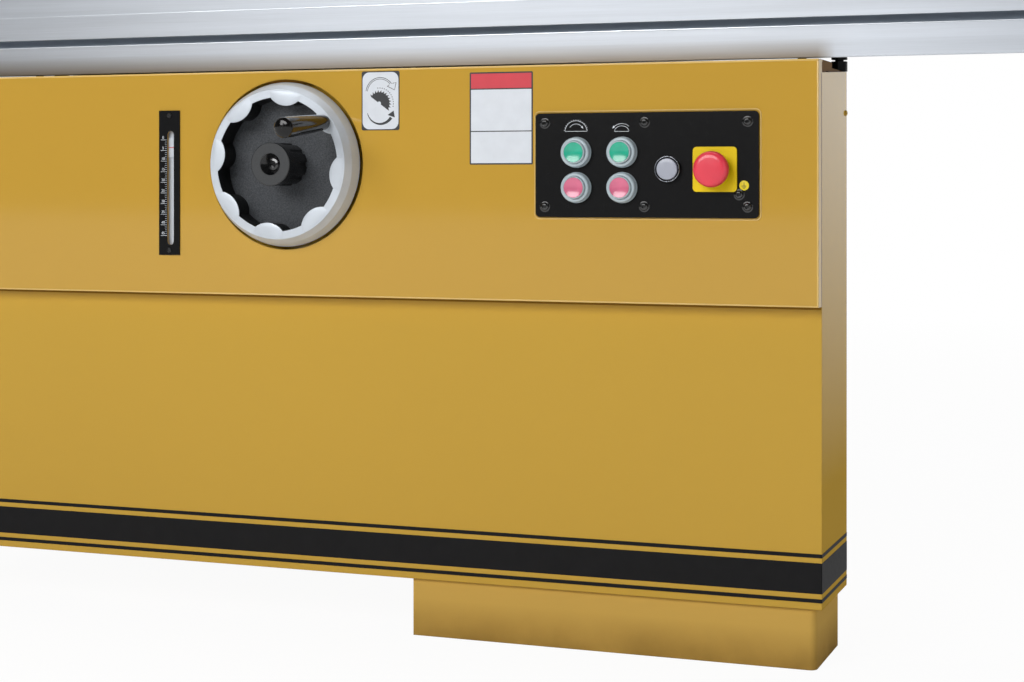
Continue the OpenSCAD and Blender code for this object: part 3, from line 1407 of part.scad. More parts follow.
// Overhead guard
module guard_arm() color(paint) place() difference() {
    reach = [hood_x - post_x, hood_y - post_y];
    union() {
        translate([post_x, post_y, guard_z]) rotate([0, 0, atan2(reach[1], reach[0])])
            translate([0, -guard_arm_w / 2, hub_lip]) cube([norm(reach), guard_arm_w,
                guard_arm_h - 2 * hub_lip]);
        rod_z(guard_z, guard_z + guard_arm_h, post_x, post_y, post_d);
        rod_z(guard_z, guard_z + guard_arm_h, hood_x, hood_y, post_d);
    }
    rod_z(guard_z - over, guard_z + guard_arm_h + over, post_x, post_y, post_pin_d + 2 * fit);
    rod_z(guard_z - over, guard_z + guard_arm_h + over, hood_x, hood_y, hood_stem_d + 2 * fit);
}

// Wide hood, open below, with a sloped nose and a suction spigot
module guard_hood() color(red) place() {
    z0 = table_z + hood_lift;
    difference() {
        union() {
            along_y(hood_y - hood_w / 2, hood_y + hood_w / 2) hood_side(z0, 0);
            rod_z(z0 + hood_h - over, z0 + hood_h + hood_spigot_h, hood_x - hood_l / 3, hood_y,
                hood_spigot_d);
        }
        along_y(hood_y - hood_w / 2 + hood_t, hood_y + hood_w / 2 - hood_t) hood_side(z0, hood_t);
        rod_z(z0 + hood_h - 2 * hood_t, z0 + hood_h + hood_spigot_h + over, hood_x - hood_l / 3, hood_y,
            hood_spigot_d - 2 * hood_t);
    }
    rod_z(z0 + hood_h - hood_t, guard_z + guard_arm_h, hood_x, hood_y, hood_stem_d);
}

module hood_side(z0, wall) {
    x0 = hood_x - hood_l / 2 + wall;
    x1 = hood_x + hood_l / 2 - wall;
    top = z0 + hood_h - wall;
    bottom = z0 - (wall > 0 ? over : 0);
    polygon([[x0, bottom], [x1, bottom], [x1, z0 + hood_h * hood_nose_share],
        [x1 - hood_l * hood_nose_share, top],
        [x0, top]]);
}

// Cabinet door on its pins, with a turn latch
module cabinet_door() color(paint) place() difference() {
    x = -cabinet_half_w - gap;
    hinge_x = -cabinet_half_w - hinge_r - fit;
    hinge_y = door_y[1] + hinge_r;
    union() {
        box([x - door_t, door_y[0], door_z[0]], [x, door_y[1], door_z[1]]);
        for (z = hinge_levels()) {
            rod_z(z - hinge_l / 2, z + hinge_l, hinge_x, hinge_y, 2 * hinge_r);
            box([x - door_t, door_y[1] - over, z - hinge_l / 2], [x - door_t + door_t, hinge_y,
                z + hinge_l]);
        }
    }
    for (z = hinge_levels()) rod_z(z - hinge_l, z + 2 * hinge_l, hinge_x, hinge_y, hinge_pin_d + 2 * fit);
    rod_x(x - door_t - over, x + over, latch_y, latch_z, latch_d + 2 * fit);
}

module door_latch() color(black) place() {
    x = -cabinet_half_w - gap;
    rod_x(x - door_t - latch_knob_h, latch_cam_x + latch_cam_t, latch_y, latch_z, latch_d);
    rod_x(x - door_t - gap - latch_knob_h, x - door_t - gap, latch_y, latch_z, latch_knob_d);
    box([latch_cam_x, latch_y - latch_d / 2, latch_z - latch_d / 2],
        [latch_cam_x + latch_cam_t, latch_y + latch_d / 2, latch_z + latch_cam_l]);
}

front_housing();
front_apron();
plinth_feet();
saw_cabinet();
rail_beam();
base_rail();
rail_jack_bolts();
scale_plate();
scale_window();
control_plate();
button_collars();
pilot_lamp();
e_stop_plate();
main_table();
throat_insert();
extension_table();
table_brackets();
rip_bar();
trunnion_brackets();
tilt_bearings();
dust_port();
guard_post();
sliding_table();
table_end_caps();
crosscut_fence();
flip_stop();
roller_cage();
tilt_shaft();
handwheel_rim();
handwheel_disc();
handwheel_grip();
handwheel_lock_knob();
tilt_pointer();
tilt_cradle();
tilt_sector();
arm_pivot_pin();
scoring_motor();
scoring_blade();
raise_shaft();
raise_handwheel();
arbor_arm();
main_motor();
drive_belt();
riving_knife();
arbor_shaft();
saw_blade();
blade_clamp();
motor_pulley();
start_main();
start_scoring();
stop_main();
stop_scoring();
e_stop_head();
fence_carrier();
fence_profile();
fence_lever();
guard_arm();
guard_hood();
cabinet_door();
door_latch();
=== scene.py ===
import math

import bpy
import bmesh
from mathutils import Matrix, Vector


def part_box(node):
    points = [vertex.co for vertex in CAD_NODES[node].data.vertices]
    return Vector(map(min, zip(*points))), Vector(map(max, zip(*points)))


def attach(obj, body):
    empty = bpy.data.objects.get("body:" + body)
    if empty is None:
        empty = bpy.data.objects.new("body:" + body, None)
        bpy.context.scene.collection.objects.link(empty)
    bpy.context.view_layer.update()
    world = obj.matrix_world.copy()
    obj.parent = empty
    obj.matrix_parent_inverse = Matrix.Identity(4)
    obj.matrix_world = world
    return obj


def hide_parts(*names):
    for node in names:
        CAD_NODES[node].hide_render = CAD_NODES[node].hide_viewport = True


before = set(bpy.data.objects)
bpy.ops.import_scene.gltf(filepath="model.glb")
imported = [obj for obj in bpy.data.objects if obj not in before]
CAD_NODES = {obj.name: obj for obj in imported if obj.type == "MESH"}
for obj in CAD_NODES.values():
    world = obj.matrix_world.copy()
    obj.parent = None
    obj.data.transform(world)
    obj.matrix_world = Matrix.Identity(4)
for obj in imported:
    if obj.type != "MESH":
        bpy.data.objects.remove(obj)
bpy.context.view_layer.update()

MM = 0.001
FRONT, BACK, UP = (0, -1, 0), (0, 1, 0), (0, 0, 1)
SIDES = ((-1, "left"), (1, "right"))

# Places are in millimetres: X from the housing's middle, Y from its face, Z from the floor
FACE_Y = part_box("front_housing")[0].y


def metres(x, y, z):
    """A place in millimetres as metres in the shared frame."""
    return Vector((x * MM, y * MM + FACE_Y, z * MM))


def corners_of(node):
    """Lowest and highest corner of a node, as places to the micrometre."""
    return [Vector([round(v / MM, 3) for v in c - Vector((0, FACE_Y, 0))]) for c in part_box(node)]


def middle_of(node):
    lo, hi = corners_of(node)
    return (lo + hi) / 2


def front_of(node):
    return corners_of(node)[0].y


# Places that the frame gives
HALF_L, HOUSING_D = corners_of("front_housing")[1].xy
APRON_LO, APRON_HI = corners_of("front_apron")
APRON, PANEL = front_of("front_apron"), front_of("control_plate")
HUB = middle_of("handwheel_disc")
KNOB_Y = front_of("handwheel_lock_knob")
SCALE_Y, SCALE_X = front_of("scale_plate"), middle_of("scale_plate").x
SLOT_X = middle_of("scale_window").x
TABLE_LO, TABLE_HI = corners_of("sliding_table")
HOOD_LO, HOOD_HI = corners_of("guard_hood")
CABINET_BACK = corners_of("saw_cabinet")[1].y

# Sizes that materials and pieces share
RIM_RISE, RIM_R = 13.0, 80.0               # how far the rim's face stands before the disc, its inner radius
RIM_Y = front_of("handwheel_disc") - RIM_RISE
T_SLOT_RISE = 40.0
T_SLOT_Z = TABLE_LO.z + T_SLOT_RISE
SKIN, SINK = 0.25, 0.2                     # how far a tape or print stands out, and reaches in
INK = 0.1                                  # height of a printed line


# Materials

def linear(r, g, b):
    """An sRGB colour of 0 to 255 as a linear one."""
    def channel(c):
        c /= 255
        return c / 12.92 if c <= 0.04045 else ((c + 0.055) / 1.055) ** 2.4
    return (channel(r), channel(g), channel(b), 1.0)


class NodeBuilder:
    """Short calls that build one shader node tree."""

    def __init__(self, tree):
        self.nodes, self.links = tree.nodes, tree.links

    def put(self, value, socket):
        """Set a constant on a socket, or link an output to it."""
        if isinstance(value, (int, float, tuple)):
            socket.default_value = value
        else:
            self.links.new(value, socket)

    def math(self, operation, *values):
        node = self.nodes.new("ShaderNodeMath")
        node.operation = operation
        for value, socket in zip(values, node.inputs):
            self.put(value, socket)
        return node.outputs[0]

    def most(self, first, *others):
        """Largest of several outputs."""
        for other in others:
            first = self.math("MAXIMUM", first, other)
        return first

    def span(self, value, to, over=(0.3, 0.7)):
        """Carry a value from one range to another, held at both ends."""
        node = self.nodes.new("ShaderNodeMapRange")
        for socket, limit in zip(("From Min", "From Max", "To Min", "To Max"), (*over, *to)):
            node.inputs[socket].default_value = limit
        self.links.new(value, node.inputs["Value"])
        return node.outputs[0]

    def split(self, vector):
        """X, Y and Z of a vector output."""
        node = self.nodes.new("ShaderNodeSeparateXYZ")
        self.links.new(vector, node.inputs[0])
        return node.outputs

    def distance(self, vector, centre=(0, 0, 0)):
        node = self.nodes.new("ShaderNodeVectorMath")
        node.operation = "DISTANCE"
        self.links.new(vector, node.inputs[0])
        node.inputs[1].default_value = centre
        return node.outputs["Value"]


FLAT_SHARE = 0.9                           # a face looks along an axis from this share of its normal on


class Material(NodeBuilder):
    """A Principled material that varies over the piece's own places."""

    def __init__(self, name, rough=0.5, metal=0.0, coat=0.0, coat_rough=0.1, spec=0.5):
        self.material = bpy.data.materials.new(name)
        self.material.use_nodes = True
        super().__init__(self.material.node_tree)
        self.inputs = self.nodes["Principled BSDF"].inputs
        for socket, value in (("Roughness", rough), ("Metallic", metal), ("Coat Weight", coat),
                              ("Coat Roughness", coat_rough), ("Specular IOR Level", spec)):
            self.inputs[socket].default_value = value
        where = self.nodes.new("ShaderNodeTexCoord").outputs
        self.place, self.facing = where["Object"], where["Normal"]

    def set(self, socket, value):
        self.put(value, self.inputs[socket])

    def noise(self, scale, stretch=(1, 1, 1), detail=4.0, rough=0.55):
        mapping = self.nodes.new("ShaderNodeMapping")
        mapping.inputs["Scale"].default_value = stretch
        self.links.new(self.place, mapping.inputs["Vector"])
        node = self.nodes.new("ShaderNodeTexNoise")
        for socket, value in (("Scale", scale), ("Detail", detail), ("Roughness", rough)):
            node.inputs[socket].default_value = value
        self.links.new(mapping.outputs[0], node.inputs["Vector"])
        return node.outputs["Fac"]

    def tones(self, value, rgb, spread, over=(0.3, 0.7)):
        """Colour that runs from a darker to a lighter shade of rgb."""
        node = self.nodes.new("ShaderNodeValToRGB")
        for stop, at, factor in zip(node.color_ramp.elements, over, (1 - spread, 1 + spread)):
            stop.position = at
            stop.color = [min(1, c * factor) for c in linear(*rgb)[:3]] + [1]
        self.links.new(value, node.inputs[0])
        return node.outputs[0]

    def mix(self, share, a, b):
        node = self.nodes.new("ShaderNodeMix")
        node.data_type = "RGBA"
        for value, k in ((share, 0), (a, 6), (b, 7)):      # sockets of the colour form of this node
            self.put(value, node.inputs[k])
        return node.outputs[2]

    def relief(self, height, strength, depth, bevel):
        """Bump from a height, over edges rounded by the bevel, both in millimetres."""
        bump = self.nodes.new("ShaderNodeBump")
        bump.inputs["Strength"].default_value = strength
        bump.inputs["Distance"].default_value = depth * MM
        self.links.new(height, bump.inputs["Height"])
        if bevel:
            edge = self.nodes.new("ShaderNodeBevel")
            edge.samples = 4
            edge.inputs["Radius"].default_value = bevel * MM
            self.links.new(edge.outputs[0], bump.inputs["Normal"])
        self.links.new(bump.outputs[0], self.inputs["Normal"])

    def radius(self, a, a0, b, b0):
        """Distance from the axis where two coordinates are a0 and b0."""
        squares = []
        for value, centre in ((a, a0), (b, b0)):
            off = self.math("SUBTRACT", value, centre)
            squares.append(self.math("MULTIPLY", off, off))
        return self.math("SQRT", self.math("ADD", *squares))

    def facing_up(self):
        return self.math("GREATER_THAN", self.split(self.facing)[2], FLAT_SHARE)

    def facing_end(self):
        return self.math("GREATER_THAN", self.math("ABSOLUTE", self.split(self.facing)[0]), FLAT_SHARE)


END_COAT, END_COAT_Z = (0.03, 0.92), (200.0, 640.0)
DARK_LOW_H, DARK_LOW = 45.0, linear(92, 62, 24)


def paint(name, rgb, rough=0.36, coat=0.42, bevel=1.6, dark_low=0.0, end_gloss=False):
    """Sprayed paint; its ends may shine most at their top, and it may turn darker and browner in patches
    near the floor.
    """
    m = Material(name, rough, coat=coat, coat_rough=0.06, spec=0.0)
    height = m.split(m.place)[2]
    tone = m.tones(m.noise(1.7, detail=1), rgb, 0.02)
    if end_gloss:
        rise = m.span(height, END_COAT, [z * MM for z in END_COAT_Z])
        m.set("Coat Weight", m.math("MULTIPLY_ADD", m.facing_end(), m.math("SUBTRACT", rise, coat), coat))
    # darker, browner patches towards the floor
    if dark_low:
        low = m.span(height, (dark_low, 0.0), (0.0, DARK_LOW_H * MM))
        tone = m.mix(m.math("MULTIPLY", low, m.noise(14, detail=5)), tone, DARK_LOW)
    m.set("Base Color", tone)
    m.set("Roughness", m.span(m.noise(30, detail=2), (rough - 0.02, rough + 0.02)))
    m.relief(m.noise(420, detail=2), 0.03, 0.1, bevel)
    return m.material


def plastic(name, rgb, rough=0.5, grain=900, strength=0.25, coat=0.0, bevel=0.6, spread=0.08,
            depth=0.1, spec=0.5, vary=0.05, speckle=60):
    m = Material(name, rough, coat=coat, coat_rough=0.08, spec=spec)
    m.set("Base Color", m.tones(m.noise(speckle, detail=4), rgb, spread))
    m.set("Roughness", m.span(m.noise(140, detail=4), (max(0.03, rough - vary), rough + vary)))
    m.relief(m.noise(grain, detail=2), strength, depth, bevel)
    return m.material


def printed(name, rgb, spread):
    return plastic(name, rgb, 0.5, 300, 0.05, bevel=0.0, spread=spread)


def brushed(name, rgb, stretch=(2, 160, 160), rough=0.34, spread=0.10):
    m = Material(name, rough, metal=1.0)
    lines = m.noise(6, stretch, detail=8, rough=0.7)
    m.set("Base Color", m.tones(lines, rgb, spread, (0.25, 0.75)))
    m.set("Roughness", m.span(lines, (rough - 0.07, rough + 0.08)))
    m.relief(lines, 0.12, 0.1, 0.6)
    return m.material


def cast(name, skin, ground):
    """Rough cast skin with ground top faces."""
    m = Material(name, metal=0.85)
    up = m.facing_up()
    lines = m.noise(5, (160, 2, 2), detail=8, rough=0.7)
    m.set("Base Color", m.mix(up, m.tones(m.noise(90, detail=6), skin, 0.18), m.tones(lines, ground, 0.07)))
    m.set("Roughness", m.math("MULTIPLY_ADD", up, -0.06, 0.56))
    m.relief(m.noise(260, detail=5), 0.22, 0.3, 1.0)
    return m.material


RIM_WALL, RIM_WALL_DEEP = 0.6, 0.7         # where the rim's black wall starts, outwards and inwards


def wheel_paint():
    """Silver paint on the rim's outside, black on the walls that face the disc."""
    m = Material("wheel_silver", metal=0.3)
    x, y, z = m.split(m.place)
    c = metres(HUB.x, RIM_Y, HUB.z)
    inside = m.math("LESS_THAN", m.radius(x, c.x, z, c.z), (RIM_R + RIM_WALL) * MM)
    deep = m.math("GREATER_THAN", y, c.y + RIM_WALL_DEEP * MM)
    silver = m.tones(m.noise(40, detail=5), (198, 205, 213), 0.05)
    dark = m.tones(m.noise(700, detail=2), (14, 15, 16), 0.25)
    m.set("Base Color", m.mix(m.math("MULTIPLY", inside, deep), silver, dark))
    m.set("Roughness", m.span(m.noise(160, detail=4), (0.38, 0.50)))
    m.relief(m.noise(600, detail=3), 0.12, 0.1, 0.9)
    return m.material


KNOB_FACE_T = 0.6


def knob_plastic():
    """Matt grey front face on a black gloss body and cup."""
    m = Material("lock_knob_black")
    face = m.math("LESS_THAN", m.split(m.place)[1], metres(0, KNOB_Y + KNOB_FACE_T, 0).y)
    body = m.tones(m.noise(60, detail=4), (14, 14, 15), 0.2)
    m.set("Base Color", m.mix(face, body, m.tones(m.noise(500, detail=3), (46, 48, 50), 0.14)))
    m.set("Roughness", m.math("MULTIPLY_ADD", face, 0.36, 0.16))
    m.relief(m.noise(800, detail=2), 0.2, 0.1, 0.6)
    return m.material


BRUSHED_SHARE = 0.88                       # how far brushing stretches a reflection
SLOT_LIP, SLOT_DEEP, SLOT_HALF_H = 1.2, 17.5, 9.5
REFLECTION_H, REFLECTION_END = 22.0, 10.0              # height of the apron's painted reflection on the face, and how it fades at the ends


def slider_alloy():
    """Brushed extrusion; dull and darker in its front slot as painted shade, and with a warm painted
    reflection of the apron at its lower edge.
    """
    m = Material("slider_aluminium", metal=0.85, spec=0.3)
    x, y, z = m.split(m.place)
    m.set("Anisotropic", m.math("MULTIPLY_ADD", m.facing_up(), -BRUSHED_SHARE, BRUSHED_SHARE))
    m.set("Anisotropic Rotation", 0.25)    # the sides are brushed along X
    lines = m.noise(6, (2, 160, 160), detail=8, rough=0.7)
    wide = m.noise(3, (0.6, 30, 30), detail=3)
    tone = m.tones(m.math("MULTIPLY_ADD", wide, 0.5, m.math("MULTIPLY", lines, 0.5)), (198, 203, 210), 0.13)
    # painted reflection of the apron: a warmer, darker tone towards the lower edge, only over the housing's
    # length
    apron_reflection = m.span(z, (1.0, 0.0), (TABLE_LO.z * MM, (TABLE_LO.z + REFLECTION_H) * MM))
    over = m.span(m.math("ABSOLUTE", x), (1.0, 0.0), ((HALF_L - REFLECTION_END) * MM, (HALF_L + REFLECTION_END) * MM))
    tone = m.mix(m.math("MULTIPLY", apron_reflection, over), tone, linear(150, 139, 124))
    # painted shade: the inside of the front slot is duller and darker
    c = metres(0, TABLE_LO.y, T_SLOT_Z)
    deep = m.math("GREATER_THAN", y, c.y + SLOT_LIP * MM)
    level = m.math("LESS_THAN", m.math("ABSOLUTE", m.math("SUBTRACT", z, c.z)), SLOT_HALF_H * MM)
    front = m.math("LESS_THAN", y, c.y + SLOT_DEEP * MM)
    slot = m.math("MULTIPLY", m.math("MULTIPLY", deep, level), front)
    m.set("Base Color", m.mix(slot, tone, linear(150, 161, 174)))
    m.set("Metallic", m.math("MULTIPLY_ADD", slot, -0.65, 0.85))
    m.set("Roughness", m.span(lines, (0.51, 0.61)))
    m.relief(lines, 0.12, 0.1, 0.8)
    return m.material


def blade_steel(name, centre):
    """Steel ground in rings about the blade's centre."""
    m = Material(name, metal=1.0)
    node = m.nodes.new("ShaderNodeTexNoise")
    node.noise_dimensions = "1D"
    node.inputs["Scale"].default_value = 900
    m.links.new(m.distance(m.place, centre), node.inputs["W"])
    rings = node.outputs["Fac"]
    m.set("Base Color", m.tones(rings, (186, 188, 192), 0.10))
    m.set("Roughness", m.span(rings, (0.2, 0.36)))
    m.relief(rings, 0.1, 0.1, 0.4)
    return m.material


def two_tone(name, rgb, rough, steel, is_bare):
    """Plastic or paint on one part of a solid, bare metal on the rest."""
    m = Material(name)
    bare = is_bare(m)
    lines = m.noise(90, detail=6)
    m.set("Base Color", m.mix(bare, m.tones(m.noise(50, detail=4), rgb, 0.07), m.tones(lines, steel, 0.1)))
    m.set("Metallic", bare)
    m.set("Roughness", m.span(lines, (rough - 0.06, rough + 0.06)))
    m.relief(m.noise(500, detail=2), 0.15, 0.1, 1.2)
    return m.material


STEM_R, STEM_Z = 13.0, 1028.5
RIM_GRIP_X = 453.5


def hood_stem(m):
    """The hood's lifting stem, above the hood and away from its spigot."""
    x, y, z = m.split(m.place)
    c = metres(*middle_of("guard_hood").xy, STEM_Z)
    near = m.math("LESS_THAN", m.radius(x, c.x, y, c.y), STEM_R * MM)
    return m.math("MULTIPLY", near, m.math("GREATER_THAN", z, c.z))


def raise_rim(m):
    """Rim, spokes and hub of the raise wheel, inside its grip."""
    return m.math("LESS_THAN", m.split(m.place)[0], RIM_GRIP_X * MM)


# Paints
GOLD = paint("gold_paint", (194, 155, 57), end_gloss=True)
FOOT = paint("gold_paint_foot", (202, 164, 84), coat=0.02, dark_low=0.9)
# lighter gold: painted highlight on the apron's folded edges and on the panel's bead
HIGHLIGHT_GOLD = paint("gold_paint_highlight", (218, 184, 110), bevel=0.6)
EDGE_GOLD = paint("gold_paint_fold", (194, 153, 60), coat=0.8, bevel=3.0)
# gold darkened to brown: painted shade for the rail beam, seen in the dark at the housing's end
SHADED_GOLD = paint("gold_paint_shaded", (116, 80, 30), coat=0.1)
# dark brown: painted shadow of the apron on the housing's face
APRON_SHADE = paint("painted_apron_shade", (140, 104, 38), coat=0.0, bevel=0.0)
MOTOR = paint("motor_grey", (86, 92, 100), 0.5, 0.1, 1.0)

# Metals
ALU = brushed("brushed_aluminium", (180, 186, 194), rough=0.36, spread=0.14)
# lighter aluminium: painted highlights on the sliding table's groove and slot lip
HIGHLIGHT_ALU = brushed("aluminium_highlight", (206, 211, 217), rough=0.38, spread=0.03)
STEEL = brushed("ground_steel", (168, 170, 173), (2, 120, 120), 0.3)
CHROME = brushed("chrome_ring", (150, 153, 160), (40, 40, 40), 0.2, 0.03)
IRON = cast("cast_iron", (118, 119, 120), (176, 178, 180))
SLIDER = slider_alloy()
WHEEL = wheel_paint()
BLADE = blade_steel("blade_steel", metres(*middle_of("saw_blade")))
BLACK = plastic("black_satin_metal", (22, 23, 25), 0.30, 300, 0.08)
JACK = plastic("black_oxide", (16, 16, 17), 0.62, 300, 0.3, spec=0.2)
PLATE = plastic("black_plate", (13, 13, 14), 0.26, 500, 0.03, spread=0.03, spec=0.16, vary=0.015)
SCREW = plastic("screw_black", (9, 9, 10), 0.13, 300, 0.02, coat=0.3, spec=0.7, vary=0.02)
GUARD = two_tone("guard_red", (168, 28, 30), 0.42, (172, 174, 178), hood_stem)
RAISE = two_tone("raise_wheel", (16, 16, 17), 0.30, (176, 180, 186), raise_rim)

# Plastics and rubber
DISC = plastic("grained_black", (62, 65, 69), 0.58, 420, 0.9, spread=0.45, depth=0.5, spec=0.35, speckle=620)
COLLAR = plastic("collar_black", (40, 41, 43), 0.5, 800, 0.4)
GLOSS = plastic("gloss_black", (9, 8, 8), 0.12, 60, 0.02, spread=0.2, spec=0.38, vary=0.02)
KNOB = knob_plastic()
RUBBER = plastic("belt_rubber", (22, 22, 22), 0.7, 500, 0.5)
WHITE = plastic("white_plastic", (198, 205, 215), 0.42, 600, 0.1, spread=0.03)
YELLOW = plastic("yellow_plastic", (234, 202, 0), 0.4, 500, 0.12, spread=0.04, spec=0.25)
RED = plastic("mushroom_red", (226, 54, 74), 0.34, 400, 0.08, coat=0.25, spread=0.04)
LENS_G = plastic("lens_green", (34, 172, 140), 0.22, 90, 0.05, coat=0.5, spread=0.10)
LENS_R = plastic("lens_red", (214, 106, 138), 0.22, 90, 0.05, coat=0.5, spread=0.10)
LENS_W = plastic("lens_grey", (164, 168, 181), 0.34, 90, 0.06, coat=0.2, spread=0.04)
BOOT = plastic("boot_silicone", (178, 192, 199), 0.32, 200, 0.04, coat=0.3, spread=0.04)

# Tape and prints
TAPE = plastic("band_tape", (35, 35, 36), 0.5, 200, 0.02, spread=0.05, bevel=0.0, spec=0.02, vary=0.02)
PRINT_W = printed("print_white", (214, 219, 226), 0.03)
PRINT_K = printed("print_black", (36, 38, 42), 0.06)
PRINT_R = printed("print_red", (204, 52, 66), 0.04)
PRINT_Y = printed("print_yellow", (232, 210, 20), 0.04)

FINISHES = {
    FOOT: "plinth_feet",
    GOLD: "front_housing saw_cabinet table_brackets guard_post guard_arm cabinet_door",
    EDGE_GOLD: "front_apron",
    # the rail beam gets the gold's painted shade
    SHADED_GOLD: "rail_beam",
    JACK: "rail_jack_bolts",
    BLACK: "blade_clamp fence_carrier",
    STEEL: "base_rail rip_bar roller_cage tilt_shaft tilt_sector arm_pivot_pin raise_shaft arbor_shaft"
           " motor_pulley riving_knife",
    PLATE: "scale_plate control_plate",
    WHITE: "scale_window tilt_pointer",
    COLLAR: "button_collars",
    YELLOW: "e_stop_plate",
    LENS_W: "pilot_lamp",
    IRON: "main_table extension_table trunnion_brackets tilt_bearings tilt_cradle arbor_arm",
    ALU: "throat_insert crosscut_fence fence_profile",
    DISC: "dust_port table_end_caps handwheel_disc",
    SLIDER: "sliding_table",
    RED: "flip_stop e_stop_head",
    WHEEL: "handwheel_rim",
    GLOSS: "handwheel_grip fence_lever door_latch",
    KNOB: "handwheel_lock_knob",
    MOTOR: "scoring_motor main_motor",
    RUBBER: "drive_belt",
    BLADE: "scoring_blade saw_blade",
    RAISE: "raise_handwheel",
    LENS_G: "start_main start_scoring",
    LENS_R: "stop_main stop_scoring",
    GUARD: "guard_hood",
}
for mat, names in FINISHES.items():
    for name in names.split():
        CAD_NODES[name].data.materials.clear()
        CAD_NODES[name].data.materials.append(mat)


# Mesh builders, all in millimetres

SHARP, SHARP_FLAT = 40, 30                 # degrees from which an edge stays sharp, on round and flat pieces
TEXT_T = 0.06                              # half the thickness of a printed number


def enter(name, mesh, mat, body):
    """Make a mesh a piece of its body."""
    mesh.materials.clear()
    mesh.materials.append(mat)
    piece = bpy.data.objects.new(name, mesh)
    bpy.context.collection.objects.link(piece)
    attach(piece, body)
    return piece


def add(name, bm, mat, body, angle):
    """Close a builder's mesh, smooth between its sharp edges, and enter it."""
    mesh = bpy.data.meshes.new(name)
    bmesh.ops.recalc_face_normals(bm, faces=bm.faces)
    bm.to_mesh(mesh)
    bm.free()
    for face in mesh.polygons:
        face.use_smooth = True
    mesh.set_sharp_from_angle(angle=math.radians(angle))
    return enter(name, mesh, mat, body)


def strip(bm, a, b):
    """Faces between two closed rows of points."""
    for k in range(len(a)):
        q = (k + 1) % len(a)
        bm.faces.new((a[k], a[q], b[q], b[k]))


def turned(name, profile, at, mat, body="frame", axis=FRONT, seg=64, angle=SHARP, ring=False):
    """Profile of (radius, height) turned about an axis; a ring joins its last point to its first."""
    rot = Vector(UP).rotation_difference(Vector(axis)).to_matrix()
    base = metres(*at)
    bm = bmesh.new()
    rows = []
    for r, h in profile:
        steps = [2 * math.pi * k / seg for k in range(seg if r > 0 else 1)]
        rows.append([bm.verts.new(base + rot @ Vector((r * math.cos(a), r * math.sin(a), h)) * MM)
                     for a in steps])
    pairs = list(zip(rows, rows[1:]))
    if ring:
        pairs.append((rows[-1], rows[0]))
    for a, b in pairs:
        if len(a) == len(b):
            strip(bm, a, b)
            continue
        tip, edge = (a[0], b) if len(a) == 1 else (b[0], a)
        for k in range(seg):
            bm.faces.new((tip, edge[k], edge[(k + 1) % seg]))
    return add(name, bm, mat, body, angle)


def slab(name, lo, hi, mat, body="frame", bevel=0.0):
    bm = bmesh.new()
    bmesh.ops.create_cube(bm, size=1)
    a, b = metres(*lo), metres(*hi)
    for v in bm.verts:
        v.co = Vector([(a[i] + b[i]) / 2 + v.co[i] * (b[i] - a[i]) for i in range(3)])
    if bevel:
        bmesh.ops.bevel(bm, geom=bm.edges[:], offset=bevel * MM, segments=2, profile=0.6, affect="EDGES")
    return add(name, bm, mat, body, SHARP_FLAT)


def arc(cx, cz, r, start, end, n=24, squash=1.0):
    steps = [math.radians(start + (end - start) * k / n) for k in range(n + 1)]
    return [(cx + r * math.cos(a), cz + squash * r * math.sin(a)) for a in steps]


def rounded(cx, cz, w, h, r, n=8):
    """Outline of a rectangle with round corners."""
    points = []
    for sx, sz, start in ((1, 1, 0), (-1, 1, 90), (-1, -1, 180), (1, -1, 270)):
        points += arc(cx + sx * (w / 2 - r), cz + sz * (h / 2 - r), r, start, start + 90, n)
    return points


def plate(name, points, y, thick, mat):
    """A flat outline in X and Z with its front at y, as a thin closed plate."""
    bm = bmesh.new()
    front, back = ([bm.verts.new(metres(x, at, z)) for x, z in points] for at in (y, y + thick))
    bm.faces.new(front)
    bm.faces.new(list(reversed(back)))
    strip(bm, front, back)
    return add(name, bm, mat, "frame", SHARP_FLAT)


def holed_plate(name, outer, centre, r, y, thick, mat):
    """A flat outline with one round hole, as a thin closed plate."""
    bm = bmesh.new()
    c = Vector(centre)
    inner = [c + (Vector(p) - c).normalized() * r for p in outer]
    rows = [[bm.verts.new(metres(p[0], at, p[1])) for p in points]
            for points, at in ((outer, y), (outer, y + thick), (inner, y + thick), (inner, y))]
    for a, b in zip(rows, rows[1:] + rows[:1]):
        strip(bm, a, b)
    return add(name, bm, mat, "frame", SHARP_FLAT)


def swept(name, lines, place, mat, body="frame"):
    """Each line is (flat points, section); place puts (point, height) in the frame."""
    bm = bmesh.new()
    for points, section in lines:
        closed = len(points) > 2 and points[0] == points[-1]
        p = [Vector(q) for q in (points[:-1] if closed else points)]
        n = len(p)
        rows = []
        for k in range(n):
            a = p[k - 1] if k or closed else p[k]
            b = p[(k + 1) % n] if k < n - 1 or closed else p[k]
            along = (b - a).normalized()
            side = Vector((-along.y, along.x))
            rows.append([bm.verts.new(metres(*place(p[k] + side * s, h))) for s, h in section])
        for k in range(n if closed else n - 1):
            strip(bm, rows[k], rows[(k + 1) % n])
        if not closed:
            bm.faces.new(rows[0])
            bm.faces.new(rows[-1])
    return add(name, bm, mat, body, SHARP_FLAT)


def flat(width, thick=INK):
    """Section of a printed line."""
    return [(-width / 2, 0), (width / 2, 0), (width / 2, thick), (-width / 2, thick)]


def half_round(width, height, n=8):
    steps = [math.pi * k / n for k in range(n + 1)]
    return [(width / 2 * math.cos(a), height * math.sin(a)) for a in steps]


def on_face(y):
    """Flat points on a face that looks to the front."""
    return lambda p, h: (p.x, y - h, p.y)


def on_top(z):
    """Flat points on a face that looks up."""
    return lambda p, h: (p.x, p.y, z + h)


